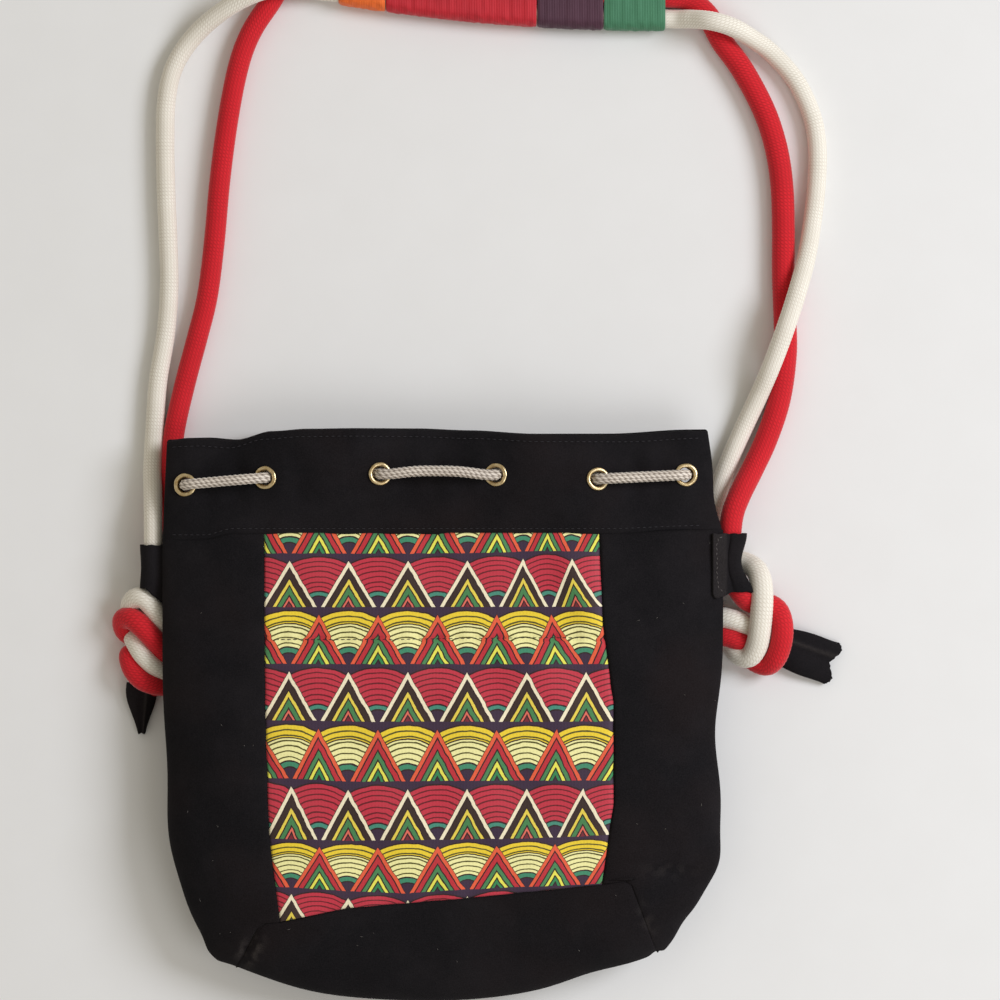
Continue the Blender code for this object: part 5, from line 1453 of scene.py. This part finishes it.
def make_stitches(material, tab_thread):
    """Rows of stitches: the collar's upper and lower edge, the pocket's line and the right tab's strip."""
    x = np.linspace(-146.0, 138.0, 600) * MM
    top = collar_top(x) - 3.9 * MM
    foot = SEAM_Y + 2.3 * MM + sway(x, np.full_like(x, SEAM_Y))

    def on_collar(px, py):
        edge_fade = smooth_step((HALF_WIDTH - np.abs(px)) / (22.0 * MM))
        return collar_height(px, py, 0.0, 1) + edge_fade * collar_relief(px, py, 1) + 0.25 * MM

    rows = [stitch_ends(x, line, on_collar, 1.9 * MM, 1.3 * MM) for line in (top, foot)]
    starts, ends = (np.vstack(spots) for spots in zip(*rows))
    capsules("collar_stitches", starts, ends, 0.2 * MM, 0.12 * MM, material, "suede")

    section, _ = smooth_curve(tab_section(RED_ROPE, True, TAB_TOP_RIGHT_Y - 0.5 * TAB_WIDTH_RIGHT), 0.5 * MM)
    on_top = section[: len(section) // 4]

    def on_strip(px, _):
        return np.interp(px, on_top[:, 0], on_top[:, 2]) + 0.5 * TAB_THICKNESS + 0.05 * MM

    route = polyline(TAB_SEAM, 200)
    jitter = 0.35 * MM * np.sin(route[:, 1] / (0.7 * MM))
    line = stitch_ends(route[:, 0] + jitter, route[:, 1], on_strip, 1.7 * MM, 1.0 * MM)
    capsules("tab_stitches", line[0], line[1], 0.26 * MM, 0.12 * MM, tab_thread, "suede")

    def on_print(px, py):
        return front_height(px, py) + pocket_puckers(px, py) + 0.1 * MM

    px = np.linspace(-90.0, 82.0, 500) * MM
    py = POCKET_SEAM_Y + 0.5 * MM * np.sin(px / (40.0 * MM))
    line = stitch_ends(px, py, on_print, 2.2 * MM, 1.0 * MM)
    capsules("pocket_stitches", line[0], line[1], 0.22 * MM, 0.15 * MM, material, "pocket_cotton")


def make_lint(material):
    """Specks of lint on the suede: short curved fibres strewn over the front by seeded draws."""
    draw = np.random.default_rng(SEED + 40)
    count = 70
    x = draw.uniform(-146.0, 146.0, count) * MM
    y = draw.uniform(-135.0, 96.0, count) * MM
    off_print = (x < -97.0 * MM) | (x > 92.0 * MM) | (y < -104.0 * MM)
    across, along = plan_to_skin(x, y)
    keep = off_print & (np.abs(across) < 0.97) & (along < 0.97)
    x, y = x[keep], y[keep]
    angle = draw.uniform(0.0, math.tau, len(x))
    length = draw.uniform(0.5, 1.8, len(x)) * MM
    z = front_height(x, y) + 0.12 * MM
    starts = np.stack((x, y, z), axis=1)
    x2, y2 = x + length * np.cos(angle), y + length * np.sin(angle)
    ends = np.stack((x2, y2, front_height(x2, y2) + 0.16 * MM), axis=1)
    capsules("lint_specks", starts, ends, 0.07 * MM, 0.1 * MM, material, "suede")


# Settings that a user would change

class BagSettings(PropertyGroup):
    """Thickness and braid of the strap's ropes."""

    rope_diameter: FloatProperty(name="Cream rope", description="Thickness of the cream rope",
                                 default=CREAM_ROPE, min=0.004, max=0.02, unit="LENGTH")
    red_diameter: FloatProperty(name="Red rope", description="Thickness of the red rope",
                                default=RED_ROPE, min=0.004, max=0.02, unit="LENGTH")
    braid_columns: IntProperty(name="Braid columns", description="Columns of yarn round a rope",
                               default=18, min=4, max=32)


class BAG_OT_suede(Operator):
    """Makes the suede panels of the body."""

    bl_idname = "shoulder_bag.suede"
    bl_label = "Suede panels"

    def execute(self, context):
        material = suede_of_bag()
        for side, name in ((-1.0, "left"), (1.0, "right")):
            seam, rim = side_lines(side, PANEL_ROWS)
            wrapped_panel("suede_side_" + name, seam, rim, material, "side_panel_" + name)
        seam, rim, sides = base_lines(PANEL_ROWS)
        wrapped_panel("suede_base", seam, rim, material, "base_panel", sides)
        make_back(material)
        return {"FINISHED"}


class BAG_OT_print(Operator):
    """Makes the printed front."""

    bl_idname = "shoulder_bag.print"
    bl_label = "Printed front"

    def execute(self, context):
        make_print(print_material())
        return {"FINISHED"}


class BAG_OT_collar(Operator):
    """Makes both halves of the collar."""

    bl_idname = "shoulder_bag.collar"
    bl_label = "Collar"

    def execute(self, context):
        for face in (1, -1):
            make_collar(face, suede_of_bag())
        return {"FINISHED"}


class BAG_OT_eyelets(Operator):
    """Makes the twelve eyelets."""

    bl_idname = "shoulder_bag.eyelets"
    bl_label = "Eyelets"

    def execute(self, context):
        material = brass_material()
        for face in (1, -1):
            for index in range(len(EYELET_X)):
                make_eyelet(index, face, material)
        return {"FINISHED"}


class BAG_OT_drawstring(Operator):
    """Makes the braided drawstring and its knot."""

    bl_idname = "shoulder_bag.drawstring"
    bl_label = "Drawstring"

    def execute(self, context):
        # The second colour paints shade in the cord's furrows and also tints faint random clouds.
        material = cord_material("Braided cord, beige", "eadfd0", "65564a", 0.35, 0.3)
        cord, _, _ = braided_tube("drawstring_cord", drawstring_route(), DRAWSTRING, DRAWSTRING_COLUMNS,
                                  DRAWSTRING_STITCH, 0.5 * MM, material, 0.55 * MM, DRAWSTRING_SIDES,
                                  slant=-1.0)
        settle(cord, "braided_cord", "drawstring")
        t = np.linspace(0.0, math.tau, 60)
        half = np.array(DRAWSTRING_KNOT) - 2.7 * MM
        trefoil = np.stack(((np.sin(t) + 2.0 * np.sin(2.0 * t)) / 2.8,
                            (np.cos(t) - 2.0 * np.cos(2.0 * t)) / 2.8, -np.sin(3.0 * t)), axis=1)
        knot, _, _ = braided_tube("drawstring_knot_turns", trefoil * half + drawstring_knot_place(),
                                  DRAWSTRING_TIGHT, DRAWSTRING_COLUMNS, DRAWSTRING_STITCH, 0.3 * MM, material,
                                  0.6 * MM, DRAWSTRING_SIDES, slant=-1.0)
        settle(knot, "braided_cord", "drawstring_knot")
        return {"FINISHED"}


class BAG_OT_ropes(Operator):
    """Makes the two ropes of the strap, each in one length from sleeve to sleeve."""

    bl_idname = "shoulder_bag.ropes"
    bl_label = "Strap ropes"

    def execute(self, context):
        settings = context.scene.shoulder_bag
        # The second colour of each paints shade in the furrows and also tints faint random clouds.
        cream = cord_material("Braided cotton, cream", "f4efe2", "cfc6b4", 0.4)
        red = cord_material("Braided cotton, red", "d81f2a", "a3121b", 0.3)
        lay_rope("rope_cream", (*CREAM_LEFT_KNOT, *CREAM_ROUTE, *CREAM_RIGHT_KNOT), settings.rope_diameter,
                 settings.braid_columns, cream, "cream_rope", ("strap_rope_cream",), CREAM_SWELL)
        lay_rope("rope_red", (*RED_LEFT_KNOT, *RED_ROUTE, *RED_RIGHT_KNOT), settings.red_diameter,
                 settings.braid_columns, red, "red_rope",
                 ("strap_rope_red", "knot_left", "knot_right"), RED_SWELL)
        return {"FINISHED"}


def lay_rope(name, route, diameter, columns, material, slot, nodes, swell):
    """One rope of the strap."""
    rope, path, length = braided_tube(name, np.array(route) * MM, diameter, columns, ROPE_STITCH, ROPE_RELIEF,
                                      material, ROPE_RINGS, ROPE_SIDES, swell=swell)
    settle(rope, slot, *nodes)


class BAG_OT_wraps(Operator):
    """Makes the four lengths of thread wrapping."""

    bl_idname = "shoulder_bag.wraps"
    bl_label = "Thread wrapping"

    def execute(self, context):
        # The second colour of each thread paints shade between its turns and also tints faint random clouds.
        threads = (("orange", "f0702c", "8d3410"), ("red", "c32430", "6e0e17"),
                   ("purple", "50303f", "2a1623"), ("green", "47805f", "1f4a35"))
        for (name, code, dark), start, end in zip(threads, WRAP_ENDS, WRAP_ENDS[1:]):
            material = cord_material("Wound cotton thread, " + name, code, dark, 0.2, 0.6)
            make_wrap("thread_" + name, start + 0.2 * MM, end - 0.2 * MM, material, name + "_thread",
                      "wrap_" + name)
        return {"FINISHED"}


class BAG_OT_tabs(Operator):
    """Makes the two side tabs and the two end sleeves."""

    bl_idname = "shoulder_bag.tabs"
    bl_label = "Tabs and sleeves"

    def execute(self, context):
        material = suede_of_bag()
        left = tab_section(CREAM_ROPE, False, TAB_TOP_LEFT_Y - 0.5 * TAB_WIDTH_LEFT)
        right = tab_section(RED_ROPE, True, TAB_TOP_RIGHT_Y - 0.5 * TAB_WIDTH_RIGHT)
        make_tab("suede_tab_left", -1.0, left, TAB_TOP_LEFT_Y, TAB_WIDTH_LEFT, 0.6 * MM, 0.0, 8.0 * MM,
                 material, "tab_left")
        make_tab("suede_tab_right", 1.0, right, TAB_TOP_RIGHT_Y, TAB_WIDTH_RIGHT, 3.2 * MM, 4.4 * MM,
                 3.6 * MM, material, "tab_right")
        make_sleeve("suede_sleeve_left", (-164.0, 17.0), (-164.2, -11.2), (16.0, 5.2), (13.4, 4.2),
                    0.25, 0.8, 0.12, material, "end_sleeve_left")
        make_sleeve("suede_sleeve_right", (184.0, 36.8), (213.6, 26.4), (20.4, 25.4), (11.8, 5.0),
                    0.0, 4.2, 0.34, material, "end_sleeve_right")
        return {"FINISHED"}


class BAG_OT_details(Operator):
    """Makes the stitches and the lint, and finishes the pocket."""

    bl_idname = "shoulder_bag.details"
    bl_label = "Stitches, lint and pocket"

    def execute(self, context):
        thread = cord_free_thread("Black sewing thread", "333135")
        make_stitches(thread, cord_free_thread("Black sewing thread, faded", "5e5855"))
        make_lint(cord_free_thread("Lint", "8f8a83"))
        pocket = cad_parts["inner_pocket"]
        pocket.material_slots[0].material = plain_cotton_material("Plain cotton, black", "1c1b1e")
        return {"FINISHED"}


def cord_free_thread(name, code):
    """Spun thread: dull, with slight shade changes along it."""
    material, tree, shader = new_material(name)
    shade = spread(tree, noise(tree, 700.0, 2.0), 0.3, 0.7, 0.0, 0.5)
    tree.links.new(mix_colours(tree, shade, rgba(code), rgba("1a181b")), shader.inputs["Base Color"])
    set_shader(shader, Roughness=0.7, Specular_IOR_Level=0.3)
    return material


class BAG_OT_stage(Operator):
    """Makes the floor, the lights and the camera."""

    bl_idname = "shoulder_bag.stage"
    bl_label = "Stage"

    def execute(self, context):
        scene = context.scene
        corners = FLOOR_HALF * np.array([(-1, -1, 0), (1, -1, 0), (1, 1, 0), (-1, 1, 0)])
        floor = put_mesh("floor", corners, [np.array([[0, 1, 2, 3]])], floor_material("ebebe9"), smooth=False)
        add_area_light("Window", (2.0, 0.75, 1.8), 1.3, 51.0, "f2f5ff")
        add_area_light("Fill", (0.8, -0.6, 1.3), 0.9, 4.5, "f6f8ff")
        add_world(scene, "f1eadd", 0.5)
        camera = bpy.data.cameras.new("Camera")
        camera.sensor_width = SENSOR_WIDTH
        camera.lens = SENSOR_WIDTH * (CAMERA_HEIGHT - FOCUS_PLANE_Z) / VIEW_WIDTH
        thing = bpy.data.objects.new("Camera", camera)
        thing.location = (CAMERA_X, CAMERA_Y, CAMERA_HEIGHT)
        scene.collection.objects.link(thing)
        scene.camera = thing
        scene.view_settings.view_transform = "Standard"
        return {"FINISHED"}


def add_area_light(name, place, size, power, code):
    lamp = bpy.data.lights.new(name, "AREA")
    lamp.shape = "DISK"
    lamp.size = size
    lamp.energy = power
    lamp.color = linear(code)
    thing = bpy.data.objects.new(name, lamp)
    thing.location = place
    way = Vector((0.03, 0.12, 0.0)) - Vector(place)
    thing.rotation_euler = way.to_track_quat("-Z", "Y").to_euler()
    bpy.context.scene.collection.objects.link(thing)


def add_world(scene, code, strength):
    world = bpy.data.worlds.new("Soft room light")
    world.use_nodes = True
    ground = world.node_tree.nodes["Background"]
    ground.inputs["Color"].default_value = rgba(code)
    ground.inputs["Strength"].default_value = strength
    scene.world = world


def suede_of_bag():
    """The one suede of all the bag's black pieces, made on first use."""
    name = "Black suede"
    return bpy.data.materials.get(name) or suede_material(name, "111012", "1a181a")


class BAG_PT_panel(Panel):
    """Lists the bag's operators in the sidebar."""

    bl_label = "Shoulder bag"
    bl_idname = "BAG_PT_panel"
    bl_space_type = "VIEW_3D"
    bl_region_type = "UI"
    bl_category = "Shoulder bag"

    def draw(self, context):
        for name in ("rope_diameter", "red_diameter", "braid_columns"):
            self.layout.prop(context.scene.shoulder_bag, name)
        for operator in OPERATORS:
            self.layout.operator(operator.bl_idname)


OPERATORS = (BAG_OT_stage, BAG_OT_ropes, BAG_OT_drawstring, BAG_OT_suede, BAG_OT_print, BAG_OT_collar,
             BAG_OT_eyelets, BAG_OT_wraps, BAG_OT_tabs, BAG_OT_details)
CLASSES = (BagSettings, *OPERATORS, BAG_PT_panel)


def register():
    for item in CLASSES:
        bpy.utils.register_class(item)
    bpy.types.Scene.shoulder_bag = PointerProperty(type=BagSettings)


def unregister():
    del bpy.types.Scene.shoulder_bag
    for item in reversed(CLASSES):
        bpy.utils.unregister_class(item)


def main():
    """Makes the whole bag in order."""
    register()
    for operator in OPERATORS:
        name = operator.bl_idname.split(".")[1]
        getattr(bpy.ops.shoulder_bag, name)()


if __name__ == "__main__":
    main()
